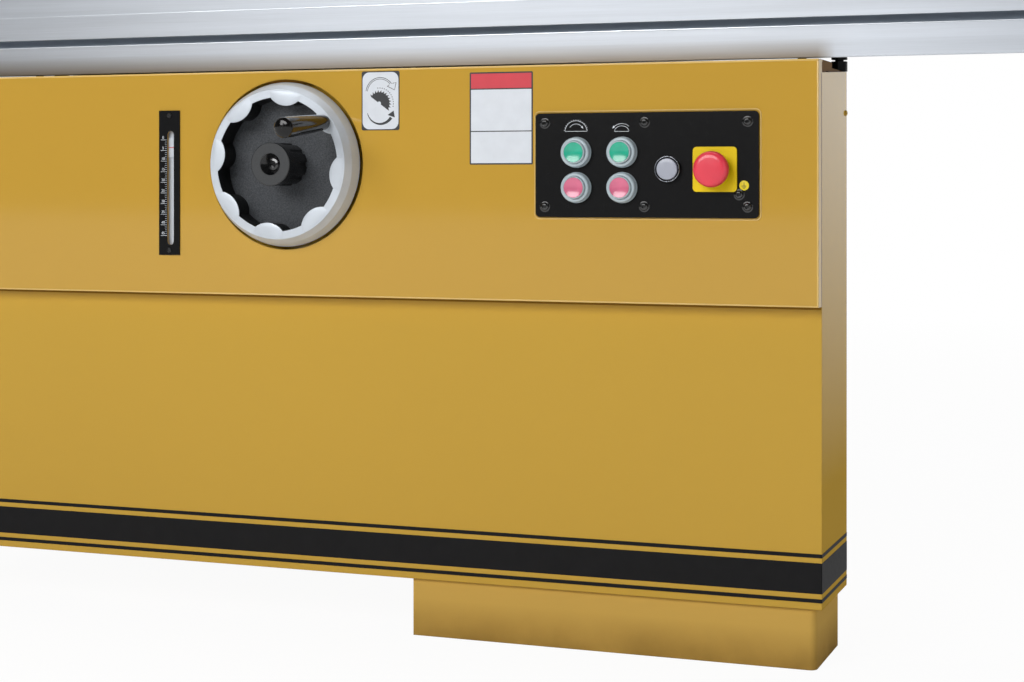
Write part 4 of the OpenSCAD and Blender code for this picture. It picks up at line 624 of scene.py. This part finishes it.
def text(name, words, at, size, mat, turn, body="frame"):
    curve = bpy.data.curves.new(name, "FONT")
    curve.body = words
    curve.size = size * MM
    curve.align_x = curve.align_y = "CENTER"
    curve.extrude = TEXT_T * MM
    shape = bpy.data.objects.new(name, curve)
    bpy.context.collection.objects.link(shape)
    shape.rotation_euler = turn
    shape.location = metres(*at)
    bpy.context.view_layer.update()
    mesh = bpy.data.meshes.new_from_object(shape)
    mesh.transform(shape.matrix_world)
    bpy.data.objects.remove(shape)
    return enter(name, mesh, mat, body)


# Screw shapes, in shares of the head's radius and height
SOCKET_HIGH = 0.6
SOCKET_SHAPE = ((0, 0), (0.98, 0), (1, 0.12), (0.93, 0.5), (0.75, 0.85), (0.55, 1), (0.47, 1), (0.44, 0.92),
                (0.44, 0.3), (0, 0.3))
HEX_WASHER = ((0, 0), (1.35, 0), (1.35, 0.16), (1.28, 0.24), (0, 0.24))
HEX_HEAD = ((0, 0.2), (1, 0.2), (1, 0.76), (0.9, 0.9), (0, 0.9))


def socket_screw(name, at, r, mat=BLACK, body="frame", axis=FRONT):
    """Button head with a round socket."""
    shape = [(r * u, r * SOCKET_HIGH * v) for u, v in SOCKET_SHAPE]
    turned(name, shape, at, mat, body, axis, seg=36, angle=35)


def hex_bolt(name, at, r):
    """Hex head on a washer, on a face that looks back."""
    for part, shares, seg in (("washer", HEX_WASHER, 32), ("head", HEX_HEAD, 6)):
        shape = [(r * u, r * v) for u, v in shares]
        turned(f"{name}_{part}", shape, at, STEEL, axis=BACK, seg=seg, angle=25)


# Tape bands round the housing's foot
BAND_LOW, BAND_GAP, BAND_WIDTHS = 75.8, 5.6, (4.3, 33.8, 4.3)
low = BAND_LOW
for k, width in enumerate(BAND_WIDTHS):
    high = low + width
    slab(f"band_front_{k}", (-HALF_L - SINK, -SKIN, low), (HALF_L + SINK, SINK, high), TAPE)
    for s, side in SIDES:
        slab(f"band_{side}_{k}", (s * HALF_L - SKIN, -SKIN, low), (s * HALF_L + SKIN, HOUSING_D, high),
             TAPE)
    low = high + BAND_GAP

# Dark joint behind each return of the apron, and the end panel's screw
JOINT_X, JOINT_Y, JOINT_Z = (-0.3, 0.12), (-2.2, -0.9), (402.0, 657.0)
END_SCREW_Y, END_SCREW_Z, END_SCREW_R = 138.0, 618.0, 3.4
for s, side in SIDES:
    lo, hi = [(s * HALF_L + JOINT_X[k], JOINT_Y[k], JOINT_Z[k]) for k in (0, 1)]
    slab(f"apron_joint_{side}", lo, hi, PRINT_K)
    at = (s * HALF_L, END_SCREW_Y, END_SCREW_Z)
    socket_screw(f"end_screw_{side}", at, END_SCREW_R, GOLD, axis=(s, 0, 0))

# Folded edges round the apron in lighter gold as painted highlights, and a painted shadow under the apron
LIP_H, LIP_OUT = 1.8, 0.25
CREST_H, CREST_OUT = 2.2, 0.3
EDGE_W, EDGE_OUT, EDGE_IN = 1.8, 0.28, 1.6
FOLD_IN, FOLD_BEVEL = 1.0, 0.5
SHADE_H, SHADE_OUT, SHADE_INSET = 3.6, 0.3, 1.0
lip_top, crest_foot = APRON_LO.z + LIP_H, APRON_HI.z - CREST_H
slab("apron_lip", (-HALF_L, APRON - LIP_OUT, APRON_LO.z), (HALF_L, APRON + FOLD_IN, lip_top),
     HIGHLIGHT_GOLD, bevel=FOLD_BEVEL)
slab("apron_crest", (-HALF_L, APRON - CREST_OUT, crest_foot), (HALF_L, APRON + FOLD_IN, APRON_HI.z),
     HIGHLIGHT_GOLD, bevel=FOLD_BEVEL)
for s, side in SIDES:
    slab(f"apron_edge_{side}", (s * (HALF_L - EDGE_W), APRON - EDGE_OUT, lip_top),
         (s * (HALF_L + SINK), APRON + EDGE_IN, crest_foot), HIGHLIGHT_GOLD, bevel=FOLD_BEVEL)
# strip of painted shadow on the housing's face under the apron's lower edge
slab("apron_shade", (SHADE_INSET - HALF_L, -SHADE_OUT, APRON_LO.z - SHADE_H),
     (HALF_L - SHADE_INSET, SINK, APRON_LO.z), APRON_SHADE)

# Handwheel: soft crowns on the finger lobes, all but the one under the grip
LOBES, LOBE_PHASE = 8, 37.5
CROWN_H, CROWN_BACK, CROWN_LIFT = 0.75, 3.0, 0.05
CROWN_OUT_R, CROWN_R, CROWN_REACH = 88.0, 27.0, 9.4
CROWN_ORBIT = RIM_R - CROWN_REACH + CROWN_R
CROWN_STEPS, CROWN_POWER, CROWN_SHARE = (18, 10), 3.0, 0.985


def swell(u):
    """Share of the crown's height at a share of its width."""
    return 1 - abs(2 * u - 1) ** CROWN_POWER


def lobe_crown(name, centre_angle):
    half = math.acos((CROWN_ORBIT ** 2 + RIM_R ** 2 - CROWN_R ** 2) / (2 * CROWN_ORBIT * RIM_R))
    nu, nv = CROWN_STEPS
    bm = bmesh.new()
    front, back = [], []
    for i in range(nu + 1):
        u = i / nu
        t = (2 * u - 1) * half * CROWN_SHARE
        nose = CROWN_ORBIT * math.cos(t) - math.sqrt(CROWN_R ** 2 - (CROWN_ORBIT * math.sin(t)) ** 2)
        a = math.radians(centre_angle) + t
        for j in range(nv + 1):
            v = j / nv
            r = nose + (CROWN_OUT_R - nose) * v
            x, z = HUB.x + r * math.cos(a), HUB.z + r * math.sin(a)
            front.append(bm.verts.new(metres(x, RIM_Y - CROWN_LIFT - CROWN_H * swell(u) * swell(v), z)))
            back.append(bm.verts.new(metres(x, RIM_Y + CROWN_BACK, z)))
    row = nv + 1
    for i in range(nu):
        for j in range(nv):
            q = [i * row + j, (i + 1) * row + j, (i + 1) * row + j + 1, i * row + j + 1]
            bm.faces.new([front[k] for k in q])
            bm.faces.new([back[k] for k in reversed(q)])
    edge = list(range(row)) + [i * row + nv for i in range(1, nu + 1)]
    edge += [nu * row + j for j in range(nv - 1, -1, -1)] + [i * row for i in range(nu - 1, 0, -1)]
    strip(bm, [front[k] for k in edge], [back[k] for k in edge])
    add(name, bm, WHEEL, "tilt_wheel", angle=60)


for k in range(1, LOBES):
    lobe_crown(f"lobe_crown_{k}", LOBE_PHASE + 360 / LOBES * k)

# Cap screw in the lock knob's cup
CUP_DEPTH = 12.0
CUP_SCREW = ((0, 0), (7.4, 0), (7.4, 3.4), (6.8, 4.4), (4.2, 5.2), (3.9, 4.4), (3.9, 1.6), (0, 1.6))
at = (HUB.x, KNOB_Y + CUP_DEPTH, HUB.z)
turned("knob_screw", CUP_SCREW, at, SCREW, "lock_knob", seg=40)

# Tilt scale: marks, numbers, screws and the pointer's hairline
SCALE_END, SCALE_STEP, REST_TILT = 45, 5, 3.6
ZERO_Z, SCALE_L = 590.0, 118.0
MARK_X, MARK_FILM, LONG_MARK, SHORT_MARK = SLOT_X - 4.9, 0.02, (8.6, 0.42), (2.6, 0.30)
NUMBER_X, NUMBER_RISE, NUMBER_SIZE = SLOT_X - 10.2, 2.9, 4.5
SCALE_SCREWS, SCALE_SCREW_R = (620, 454), 3.2
HAIR_HALF_W, HAIR_HALF_H, HAIR_OUT, HAIR_IN = 4.6, 0.45, 0.3, 0.05
STANDING, LYING = (math.pi / 2, 0, 0), (0, 0, math.pi / 2)


def degree_z(degrees):
    """Height of an angle on the scale."""
    return ZERO_Z - SCALE_L / SCALE_END * degrees


ticks = []
for d in range(SCALE_END + 1):
    reach, width = SHORT_MARK if d % SCALE_STEP else LONG_MARK
    ticks.append(([(MARK_X - reach, degree_z(d)), (MARK_X, degree_z(d))], flat(width)))
swept("scale_ticks", ticks, on_face(SCALE_Y - MARK_FILM), PRINT_W)
for d in range(0, SCALE_END + 1, SCALE_STEP):
    text(f"scale_number_{d}", str(d), (NUMBER_X, SCALE_Y - TEXT_T, degree_z(d) + NUMBER_RISE), NUMBER_SIZE,
         PRINT_W, STANDING)
for z in SCALE_SCREWS:
    socket_screw(f"scale_screw_{z}", (SCALE_X, SCALE_Y, z), SCALE_SCREW_R)
pointer_y, hair_z = front_of("tilt_pointer"), degree_z(REST_TILT)
slab("pointer_hairline", (SLOT_X - HAIR_HALF_W, pointer_y - HAIR_OUT, hair_z - HAIR_HALF_H),
     (SLOT_X + HAIR_HALF_W, pointer_y + HAIR_IN, hair_z + HAIR_HALF_H), PRINT_R, "pointer")

# Tilt sign: half a toothed blade, its dotted rest and two arrows
SIGN_X, SIGN_Z = 278.5, 634.0
SIGN_W, SIGN_H, SIGN_EDGE, SIGN_CORNERS = 49.0, 70.0, 1.3, (2.5, 8.5)
FIELD_OUT = 0.4                            # how far a printed field stands out from the apron
SIGN_Y = APRON - FIELD_OUT
BLADE_X, BLADE_Z, BLADE_TURN, BLADE_TEETH = SIGN_X - 1.5, SIGN_Z - 3.1, -36, 12
ROOT_R, TIP_R, DOT_R, BORE_R = 13.2, 15.8, 18.2, 2.2
TOOTH = ((0.0, ROOT_R), (0.12, TIP_R), (0.62, ROOT_R))     # shares of a pitch and radii
TOOTH_INK, BORE_OUT, BORE_STEP, HEAD_INK = 0.15, 0.16, 15, 0.12
DOTS, DOT_L, DOT_W = range(22, 132, 9), 4, 0.9             # in degrees, and the line's width
UPPER_X, UPPER_Z = SIGN_X - 0.5, SIGN_Z + 9
UPPER_ARCS = ((18.4, 172, 36, 0.7), (16.6, 172, 40, 0.6))  # radius, start, end, line's width
UPPER_BARB, BARB_W = ((11.6, 18.6), (8.8, 17.0), (18.2, 12.4), (20.2, 21.4), (15.6, 20.2)), 0.8
LOWER_X, LOWER_Z, LOWER_ARC = SIGN_X - 0.3, SIGN_Z - 10.5, (17.0, 194, 326)
LOWER_W, LOWER_GROWTH = 0.7, 0.13                          # the tail widens towards its head
LOWER_HEAD = ((9.2, -17.0), (17.0, -12.0), (18.6, -20.0))


def blade_point(r, degrees):
    """Place on the sign from a radius and an angle off the blade's chord."""
    a = math.radians(degrees + BLADE_TURN)
    return (BLADE_X + r * math.cos(a), BLADE_Z + r * math.sin(a))


def on_sign(points):
    return [(SIGN_X + x, SIGN_Z + z) for x, z in points]


def sign_lines(name, lines):
    swept(name, lines, on_face(SIGN_Y), PRINT_K)


plate("sign_back", rounded(SIGN_X, SIGN_Z, SIGN_W, SIGN_H, SIGN_CORNERS[0]), APRON - SKIN, SKIN, PRINT_K)
plate("sign_face", rounded(SIGN_X, SIGN_Z, SIGN_W - 2 * SIGN_EDGE, SIGN_H - 2 * SIGN_EDGE, SIGN_CORNERS[1]),
      SIGN_Y, SINK, PRINT_W)
pitch = 180 / (BLADE_TEETH + TOOTH[-1][0])
teeth = [blade_point(r, (k + share) * pitch) for k in range(BLADE_TEETH + 1) for share, r in TOOTH]
plate("sign_blade", teeth, SIGN_Y - INK, TOOTH_INK, PRINT_K)
bore = [blade_point(BORE_R, a) for a in range(0, 181, BORE_STEP)]
plate("sign_bore", bore, SIGN_Y - BORE_OUT, INK, PRINT_W)
dots = [[blade_point(DOT_R, a) for a in (start, start + DOT_L)] for start in DOTS]
sign_lines("sign_dots", [(dot, flat(DOT_W)) for dot in dots])
upper = [(arc(UPPER_X, UPPER_Z, *turn), flat(width)) for *turn, width in UPPER_ARCS]
sign_lines("sign_upper_arrow", upper + [(on_sign(UPPER_BARB), flat(BARB_W))])
tail = arc(LOWER_X, LOWER_Z, *LOWER_ARC)
lower = [(tail[k:k + 2], flat(LOWER_W + LOWER_GROWTH * k)) for k in range(len(tail) - 1)]
sign_lines("sign_lower_arrow", lower)
plate("sign_lower_head", on_sign(LOWER_HEAD), SIGN_Y - HEAD_INK, HEAD_INK, PRINT_K)

# Bare label: frame, header and two empty fields
LABEL_X, LABEL_Z, LABEL_FRAME, LABEL_CORNER = (392.0, 470.0), (558.0, 665.0), 1.7, 1.5
HEADER_FOOT, UPPER_FIELD, LOWER_TOP = 646.2, (597.1, 644.8), 595.9
LABEL_FIELDS = (("header", HEADER_FOOT, LABEL_Z[1] - LABEL_FRAME, PRINT_R, "red"),
                ("upper", *UPPER_FIELD, PRINT_W, "white_plastic"),
                ("lower", LABEL_Z[0] + LABEL_FRAME, LOWER_TOP, PRINT_W, "white_plastic"))
label = rounded(sum(LABEL_X) / 2, sum(LABEL_Z) / 2, LABEL_X[1] - LABEL_X[0], LABEL_Z[1] - LABEL_Z[0],
                LABEL_CORNER)
plate("label_back", label, APRON - SKIN, SKIN, PRINT_K)
for part, low, high, mat, slot in LABEL_FIELDS:
    slab(f"label_{part}", (LABEL_X[0] + LABEL_FRAME, APRON - FIELD_OUT, low),
         (LABEL_X[1] - LABEL_FRAME, APRON - SINK, high), mat)

# Switch panel: bead round it, screws on washers and the earth sign
PANEL_MID = middle_of("control_plate")
BEAD_SIZE, BEAD_CORNER, BEAD_SECTION, BEAD_IN = (263.6, 122.2), 5.6, (1.8, 1.0), 0.05
PANEL_SCREWS = ((485.8, 604.9), (604.3, 604.7), (722.2, 604.5), (485.8, 509.7), (603.9, 510.2),
                (722.2, 510.3), (712.8, 523.8))
PANEL_SCREW_R, SCREW_SEAT = 4.7, 0.8       # the head sits a little inside its washer
WASHER = ((0, 0), (6.3, 0), (6.3, 0.4), (5.9, 0.8), (5.2, 0.9), (0, 0.9))
EARTH_X, EARTH_Z, EARTH_INK = 718.2, 533.9, 0.12
EARTH_DISC = ((0, 0), (5.5, 0), (5.5, 0.2), (5.2, 0.35), (0, 0.35))
EARTH_OUT = 0.36
EARTH_STEM = (3.4, -0.6, 0.6)                              # top, foot and width
EARTH_BARS = ((-0.6, 2.8, 0.6), (-1.9, 1.9, 0.5), (-3.1, 1.0, 0.5))     # height, half length and width
bead = rounded(PANEL_MID.x, PANEL_MID.z, *BEAD_SIZE, BEAD_CORNER)
# the bead's lighter gold is a painted highlight
swept("panel_bead", [(bead + [bead[0]], half_round(*BEAD_SECTION))], on_face(APRON + BEAD_IN), HIGHLIGHT_GOLD)
for k, (x, z) in enumerate(PANEL_SCREWS):
    turned(f"panel_washer_{k}", WASHER, (x, PANEL, z), SCREW, seg=36)
    socket_screw(f"panel_screw_{k}", (x, PANEL - SCREW_SEAT, z), PANEL_SCREW_R, SCREW)
turned("earth_disc", EARTH_DISC, (EARTH_X, PANEL, EARTH_Z), PRINT_Y, seg=40)
top, foot, width = EARTH_STEM
earth = [([(EARTH_X, EARTH_Z + top), (EARTH_X, EARTH_Z + foot)], flat(width, EARTH_INK))]
for rise, half, width in EARTH_BARS:
    ends = [(EARTH_X - half, EARTH_Z + rise), (EARTH_X + half, EARTH_Z + rise)]
    earth.append((ends, flat(width, EARTH_INK)))
swept("earth_sign", earth, on_face(PANEL - EARTH_OUT), PRINT_K)

# Blade signs over the two columns of buttons
ICON_W, ICON_OUT, ICON_LIFT = 0.45, 0.04, 0.6
ICON_TOOTH_W, ICON_TOOTH = 0.5, (0.3, 1.4)                 # a tooth's width and its ends beyond the blade
ICON_TEETH = (6, 174, 14)                                  # start, end and steps of the row of teeth
ICON_TIP, ICON_TIP_OUT, ICON_TIP_T = ((1.7, -1.8), (-1.3, -0.2), (0.6, 1.5)), 0.14, 0.12


def blade_icon(kind, x, z, r, squash, path_r, path_ends, hand, toothed=False):
    """Half a blade with a swing arrow that points to one hand."""
    half = arc(x, z, r, 0, 180, squash=squash)
    swing = arc(x, z + ICON_LIFT, path_r, *path_ends, squash=squash)
    lines = [(half + [half[0]], flat(ICON_W)), (swing, flat(ICON_W))]
    if toothed:
        inner, outer = (arc(x, z, r + beyond, *ICON_TEETH, squash) for beyond in ICON_TOOTH)
        lines += [([a, b], flat(ICON_TOOTH_W)) for a, b in zip(inner, outer)]
    swept(f"icon_{kind}", lines, on_face(PANEL - ICON_OUT), PRINT_W)
    end_x, end_z = swing[-1]
    tip = [(end_x + hand * dx, end_z + dz) for dx, dz in ICON_TIP]
    plate(f"icon_arrow_{kind}", tip, PANEL - ICON_TIP_OUT, ICON_TIP_T, PRINT_W)


blade_icon("main", x=523.1, z=595.4, r=13.0, squash=0.92, path_r=8.4, path_ends=(150, 32), hand=1,
           toothed=True)
blade_icon("scoring", x=577.4, z=594.8, r=8.4, squash=0.74, path_r=11.0, path_ends=(38, 146), hand=-1)

# Push buttons: clear boot, cap and dished lens
BOOT_SHAPE = ((13.05, 0.2), (17.6, 0.2), (17.6, 1.6), (17.3, 2.2), (17.0, 2.4), (17.0, 6.6), (16.5, 8.2),
              (15.6, 9.2), (14.4, 9.6), (13.4, 9.4), (13.05, 8.8))
CAP_SHAPE = ((0, -6), (12.95, -6), (12.95, 11.8), (12.6, 12.7), (12.0, 13.0), (11.5, 12.7), (11.35, 11.9),
             (11.35, 10.4), (0, 10.4))
LENS_BACK, LENS_LOW, LENS_BOWL, LENS_RADII = 10.0, 11.2, 80, (11.3, 10, 8, 6, 4, 2)
LENS_SHAPE = [(0, LENS_BACK), (LENS_RADII[0], LENS_BACK)]
LENS_SHAPE += [(r, LENS_LOW + r * r / LENS_BOWL) for r in LENS_RADII] + [(0, LENS_LOW)]


def on_panel(node):
    """Place on the plate's face at a node's middle."""
    middle = middle_of(node)
    return (middle.x, PANEL, middle.z)


for button in ("start_main", "start_scoring", "stop_main", "stop_scoring"):
    lens, slot = (LENS_G, "green") if button.startswith("start") else (LENS_R, "red")
    turned(f"{button}_boot", BOOT_SHAPE, on_panel(button), BOOT, ring=True)
    turned(f"{button}_cap", CAP_SHAPE, on_panel(button), BOOT, "button_" + button)
    dish = turned(f"{button}_lens", LENS_SHAPE, on_panel(button), lens, "button_" + button)
    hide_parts(button)

# Pilot lamp: bright ring, dark gap and lens
PILOT_RING = ((13.3, 0), (14.75, 0), (14.75, 5.4), (14.5, 6.2), (14.1, 6.5), (13.6, 6.3), (13.3, 5.6))
PILOT_GAP = ((11.8, 0), (13.4, 0), (13.4, 4.6), (11.8, 4.6))
PILOT_LENS = ((0, 0), (11.9, 0), (11.9, 6.6), (11.5, 7.3), (10.6, 7.6), (6, 7.8), (0, 7.9))
at = on_panel("pilot_lamp")
turned("pilot_ring", PILOT_RING, at, CHROME, ring=True)
turned("pilot_gap", PILOT_GAP, at, GLOSS, ring=True)
lamp = turned("pilot_lens", PILOT_LENS, at, LENS_W)
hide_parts("pilot_lamp")

# Emergency stop: yellow plate, a black ring as painted shade under the mushroom, and the mushroom
STOP_SIZE, STOP_CORNER, STOP_HOLE_R, STOP_T = 50.0, 4.5, 15.0, 2.5
STOP_SHADE_RING = ((10.6, 2.5), (16.3, 2.5), (16.5, 3.1), (16.5, 8.2), (15.7, 8.9), (10.6, 8.9))
MUSHROOM = ((0, -4), (9.9, -4), (9.9, 14.6), (17.4, 14.5), (19.3, 15.0), (20.0, 16.4), (20.0, 19.2),
            (19.7, 21.4), (18.9, 23.4), (17.5, 25.0), (15.4, 26.0), (12.0, 26.4), (0, 26.5))
at = on_panel("e_stop_plate")
x, y, z = at
outline = rounded(x, z, STOP_SIZE, STOP_SIZE, STOP_CORNER)
base = holed_plate("stop_plate", outline, (x, z), STOP_HOLE_R, y - STOP_T, STOP_T, YELLOW)
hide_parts("e_stop_plate")
# black ring over the plate's collar: painted shade under the mushroom
turned("stop_shade_ring", STOP_SHADE_RING, at, BLACK, ring=True)
head = turned("stop_mushroom", MUSHROOM, at, RED, "mushroom")
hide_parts("e_stop_head")

# Sliding table: strips of lighter metal on the groove and on the slot's lower lip, painted highlights on
# these edges
GROOVE_Z, SLOT_LIP_Z = 751.3, T_SLOT_Z - 4.9
BRIGHT_HALF_H, BRIGHT_OUT, BRIGHT_IN, BRIGHT_BEVEL = 0.8, 0.5, 1.2, 0.4
for part, z in (("groove", GROOVE_Z), ("slot_lip", SLOT_LIP_Z)):
    slab(f"{part}_edge", (TABLE_LO.x, TABLE_LO.y - BRIGHT_OUT, z - BRIGHT_HALF_H),
         (TABLE_HI.x, TABLE_LO.y + BRIGHT_IN, z + BRIGHT_HALF_H), HIGHLIGHT_ALU, "slider", BRIGHT_BEVEL)

# Crosscut fence: two rule tapes with plain numbers on its top
RULE_X, RULE_Z, RULE_SPANS = (622.0, 636.0), 912.0, ((36, 150), (216, 330))
RULE_IN, RULE_OUT, RULE_MARGIN = 0.1, 0.2, 2
RULE_YS, RULE_STEP, LONG_LINE, SHORT_LINE = range(40, 330, 5), 50, (6.0, 0.5), (3.6, 0.3)
RULE_NUMBER_X, RULE_NUMBER_OUT, RULE_NUMBER_SIZE = RULE_X[0] + 4.0, 0.24, 4.4
for k, (start, end) in enumerate(RULE_SPANS):
    slab(f"rule_{k}", (RULE_X[0], start, RULE_Z - RULE_IN), (RULE_X[1], end, RULE_Z + RULE_OUT), PRINT_W,
         "slider")
    marks = []
    for y in RULE_YS:
        if start + RULE_MARGIN < y < end - RULE_MARGIN:
            reach, width = SHORT_LINE if y % RULE_STEP else LONG_LINE
            marks.append(([(RULE_X[1], y), (RULE_X[1] - reach, y)], flat(width)))
            if y % RULE_STEP == 0:
                text(f"rule_number_{y}", str(y), (RULE_NUMBER_X, y, RULE_Z + RULE_NUMBER_OUT),
                     RULE_NUMBER_SIZE, PRINT_K, LYING, "slider")
    swept(f"rule_marks_{k}", marks, on_top(RULE_Z + RULE_OUT), PRINT_K, "slider")

# Guard hood: rubber lips and side screws
HOOD_LIP_INSET, HOOD_LIP_HALF_T, HOOD_LIP_Z, HOOD_LIP_BEVEL = 1.0, 1.0, (0.5, 13.0), 0.5
HOOD_SCREWS, HOOD_SCREW_R = ((-285, 945), (-80, 945), (120, 945), (-285, 1012)), 5.0
for face, y, axis in (("front", HOOD_LO.y, FRONT), ("back", HOOD_HI.y, BACK)):
    slab(f"hood_lip_{face}", (HOOD_LO.x + HOOD_LIP_INSET, y - HOOD_LIP_HALF_T, HOOD_LO.z + HOOD_LIP_Z[0]),
         (HOOD_HI.x - HOOD_LIP_INSET, y + HOOD_LIP_HALF_T, HOOD_LO.z + HOOD_LIP_Z[1]),
         RUBBER, "hood", HOOD_LIP_BEVEL)
    for k, (x, z) in enumerate(HOOD_SCREWS):
        socket_screw(f"hood_screw_{face}_{k}", (x, y, z), HOOD_SCREW_R, body="hood", axis=axis)

# Cabinet's back: louvres over thin black strips, painted shade in the gaps under them
LOUVRES, LOUVRE_Z, LOUVRE_PITCH, LOUVRE_H = 8, 215.0, 26.0, 12.0
LOUVRE_X, LOUVRE_IN, LOUVRE_OUT, LOUVRE_BEVEL = (70.0, 300.0), 0.5, 5.0, 2.4
GAP_INSET, GAP_T, GAP_Z = 4.0, 0.3, (-3.0, 1.0)
for k in range(LOUVRES):
    z = LOUVRE_Z + LOUVRE_PITCH * k
    slab(f"louvre_{k}", (LOUVRE_X[0], CABINET_BACK - LOUVRE_IN, z),
         (LOUVRE_X[1], CABINET_BACK + LOUVRE_OUT, z + LOUVRE_H), GOLD, bevel=LOUVRE_BEVEL)
    # black strips: painted shade in the gaps under the louvres
    slab(f"louvre_gap_{k}", (LOUVRE_X[0] + GAP_INSET, CABINET_BACK - GAP_T, z + GAP_Z[0]),
         (LOUVRE_X[1] - GAP_INSET, CABINET_BACK + GAP_T, z + GAP_Z[1]), PRINT_K)

# Screws of the dust flange and the rip bar's end bolt
DUST_X, DUST_Z, FLANGE_T = -180.0, 190.0, 4.0
DUST_SCREWS, DUST_PHASE, DUST_ORBIT, DUST_SCREW_R = 6, 30, 67.0, 4.2
BAR_BOLT_X, BAR_BOLT_R = 472.0, 11.0
for k in range(DUST_SCREWS):
    a = math.radians(DUST_PHASE + 360 / DUST_SCREWS * k)
    at = (DUST_X + DUST_ORBIT * math.cos(a), CABINET_BACK + FLANGE_T, DUST_Z + DUST_ORBIT * math.sin(a))
    socket_screw(f"dust_screw_{k}", at, DUST_SCREW_R, axis=BACK)
hex_bolt("rip_bar_bolt", (BAR_BOLT_X, corners_of("rip_bar")[1].y, middle_of("rip_bar").z), BAR_BOLT_R)

# Stage, light and camera, in metres
FLOOR_SIZE, FLOOR_DROP, FLOOR_GREY, FLOOR_ROUGH = 30.0, 0.0005, 0.93, 0.9
FLOOR_WHITE_SHARE, FLOOR_FADE = (0.95, 1.0), (1.5, 5.0)    # share of plain white near the saw and far away
ROOM_DIM, ROOM_EDGE, DIFFUSE_SHARE = 0.07, (-0.1, 0.6), 0.8
LIGHTS = (("key", (-0.75, -4.4, 2.3), (0.3, -0.6, 0.4), (3.0, 1.8), 128),
          ("fill", (3.4, -3.2, 1.3), (0.5, -0.6, 0.4), (1.8, 1.8), 14),
          ("top", (0.0, 0.4, 3.6), (0.0, 0.3, 0.8), (3.0, 2.0), 50))
EYE, VIEW_X, VIEW_Y = (1.2175, -2.72635, 0.536), -0.3507, 0.9365
SENSOR, LENS, LENS_SHIFT, VIEW_END = 36, 67.29, -0.1537, 100


def pale_floor():
    """A plain floor, white to the eye but for a faint shadow near the saw."""
    mesh = bpy.data.meshes.new("floor")
    bm = bmesh.new()
    bmesh.ops.create_grid(bm, x_segments=1, y_segments=1, size=FLOOR_SIZE)
    bm.to_mesh(mesh)
    bm.free()
    floor = bpy.data.objects.new("floor", mesh)
    bpy.context.collection.objects.link(floor)
    floor.location.z = -FLOOR_DROP
    mat = bpy.data.materials.new("floor_pale")
    mat.use_nodes = True
    tree = NodeBuilder(mat.node_tree)
    matt = tree.nodes["Principled BSDF"]
    for socket, value in (("Base Color", (FLOOR_GREY, FLOOR_GREY, FLOOR_GREY, 1)),
                          ("Roughness", FLOOR_ROUGH), ("Specular IOR Level", 0.0)):
        matt.inputs[socket].default_value = value
    glow = tree.nodes.new("ShaderNodeEmission")
    ray = tree.nodes.new("ShaderNodeLightPath").outputs
    seen = tree.most(ray["Is Camera Ray"], ray["Is Glossy Ray"], ray["Is Transmission Ray"])
    away = tree.distance(tree.nodes.new("ShaderNodeNewGeometry").outputs["Position"])
    share = tree.math("MULTIPLY", seen, tree.span(away, FLOOR_WHITE_SHARE, FLOOR_FADE))
    both = tree.nodes.new("ShaderNodeMixShader")
    for k, out in enumerate((share, matt.outputs[0], glow.outputs[0])):
        tree.links.new(out, both.inputs[k])
    tree.links.new(both.outputs[0], tree.nodes["Material Output"].inputs["Surface"])
    mesh.materials.append(mat)


def studio_world():
    """White backdrop behind the machine, a dim room in front of it."""
    world = bpy.data.worlds.new("studio")
    bpy.context.scene.world = world
    world.use_nodes = True
    tree = NodeBuilder(world.node_tree)
    ray = tree.nodes.new("ShaderNodeLightPath").outputs
    back = tree.split(tree.nodes.new("ShaderNodeTexCoord").outputs["Generated"])[1]
    room = tree.span(back, (ROOM_DIM, 1.0), ROOM_EDGE)
    share = tree.span(ray["Is Diffuse Ray"], (1.0, DIFFUSE_SHARE), (0.0, 1.0))
    lit = tree.most(ray["Is Camera Ray"], ray["Is Transmission Ray"], tree.math("MULTIPLY", room, share))
    background = tree.nodes["Background"].inputs
    background["Color"].default_value = (1, 1, 1, 1)
    tree.links.new(lit, background["Strength"])


def area(name, place, target, size, power):
    """Rectangular lamp that looks at a target."""
    light = bpy.data.lights.new(name, "AREA")
    light.shape = "RECTANGLE"
    light.size, light.size_y = size
    light.energy = power
    lamp = bpy.data.objects.new(name, light)
    bpy.context.collection.objects.link(lamp)
    lamp.location = place
    lamp.rotation_euler = (Vector(target) - Vector(place)).to_track_quat("-Z", "Y").to_euler()


def camera():
    """Level camera with the photograph's lens, shifted down as its crop is."""
    cam = bpy.data.cameras.new("camera")
    cam.sensor_width = SENSOR
    cam.sensor_fit = "HORIZONTAL"
    cam.lens = LENS
    cam.shift_y = LENS_SHIFT
    cam.clip_end = VIEW_END
    eye = bpy.data.objects.new("camera", cam)
    bpy.context.collection.objects.link(eye)
    eye.location = EYE
    eye.rotation_euler = (math.pi / 2, 0, math.atan2(-VIEW_X, VIEW_Y))
    bpy.context.scene.camera = eye


pale_floor()
studio_world()
for light in LIGHTS:
    area(*light)
camera()
bpy.context.scene.view_settings.view_transform = "Standard"
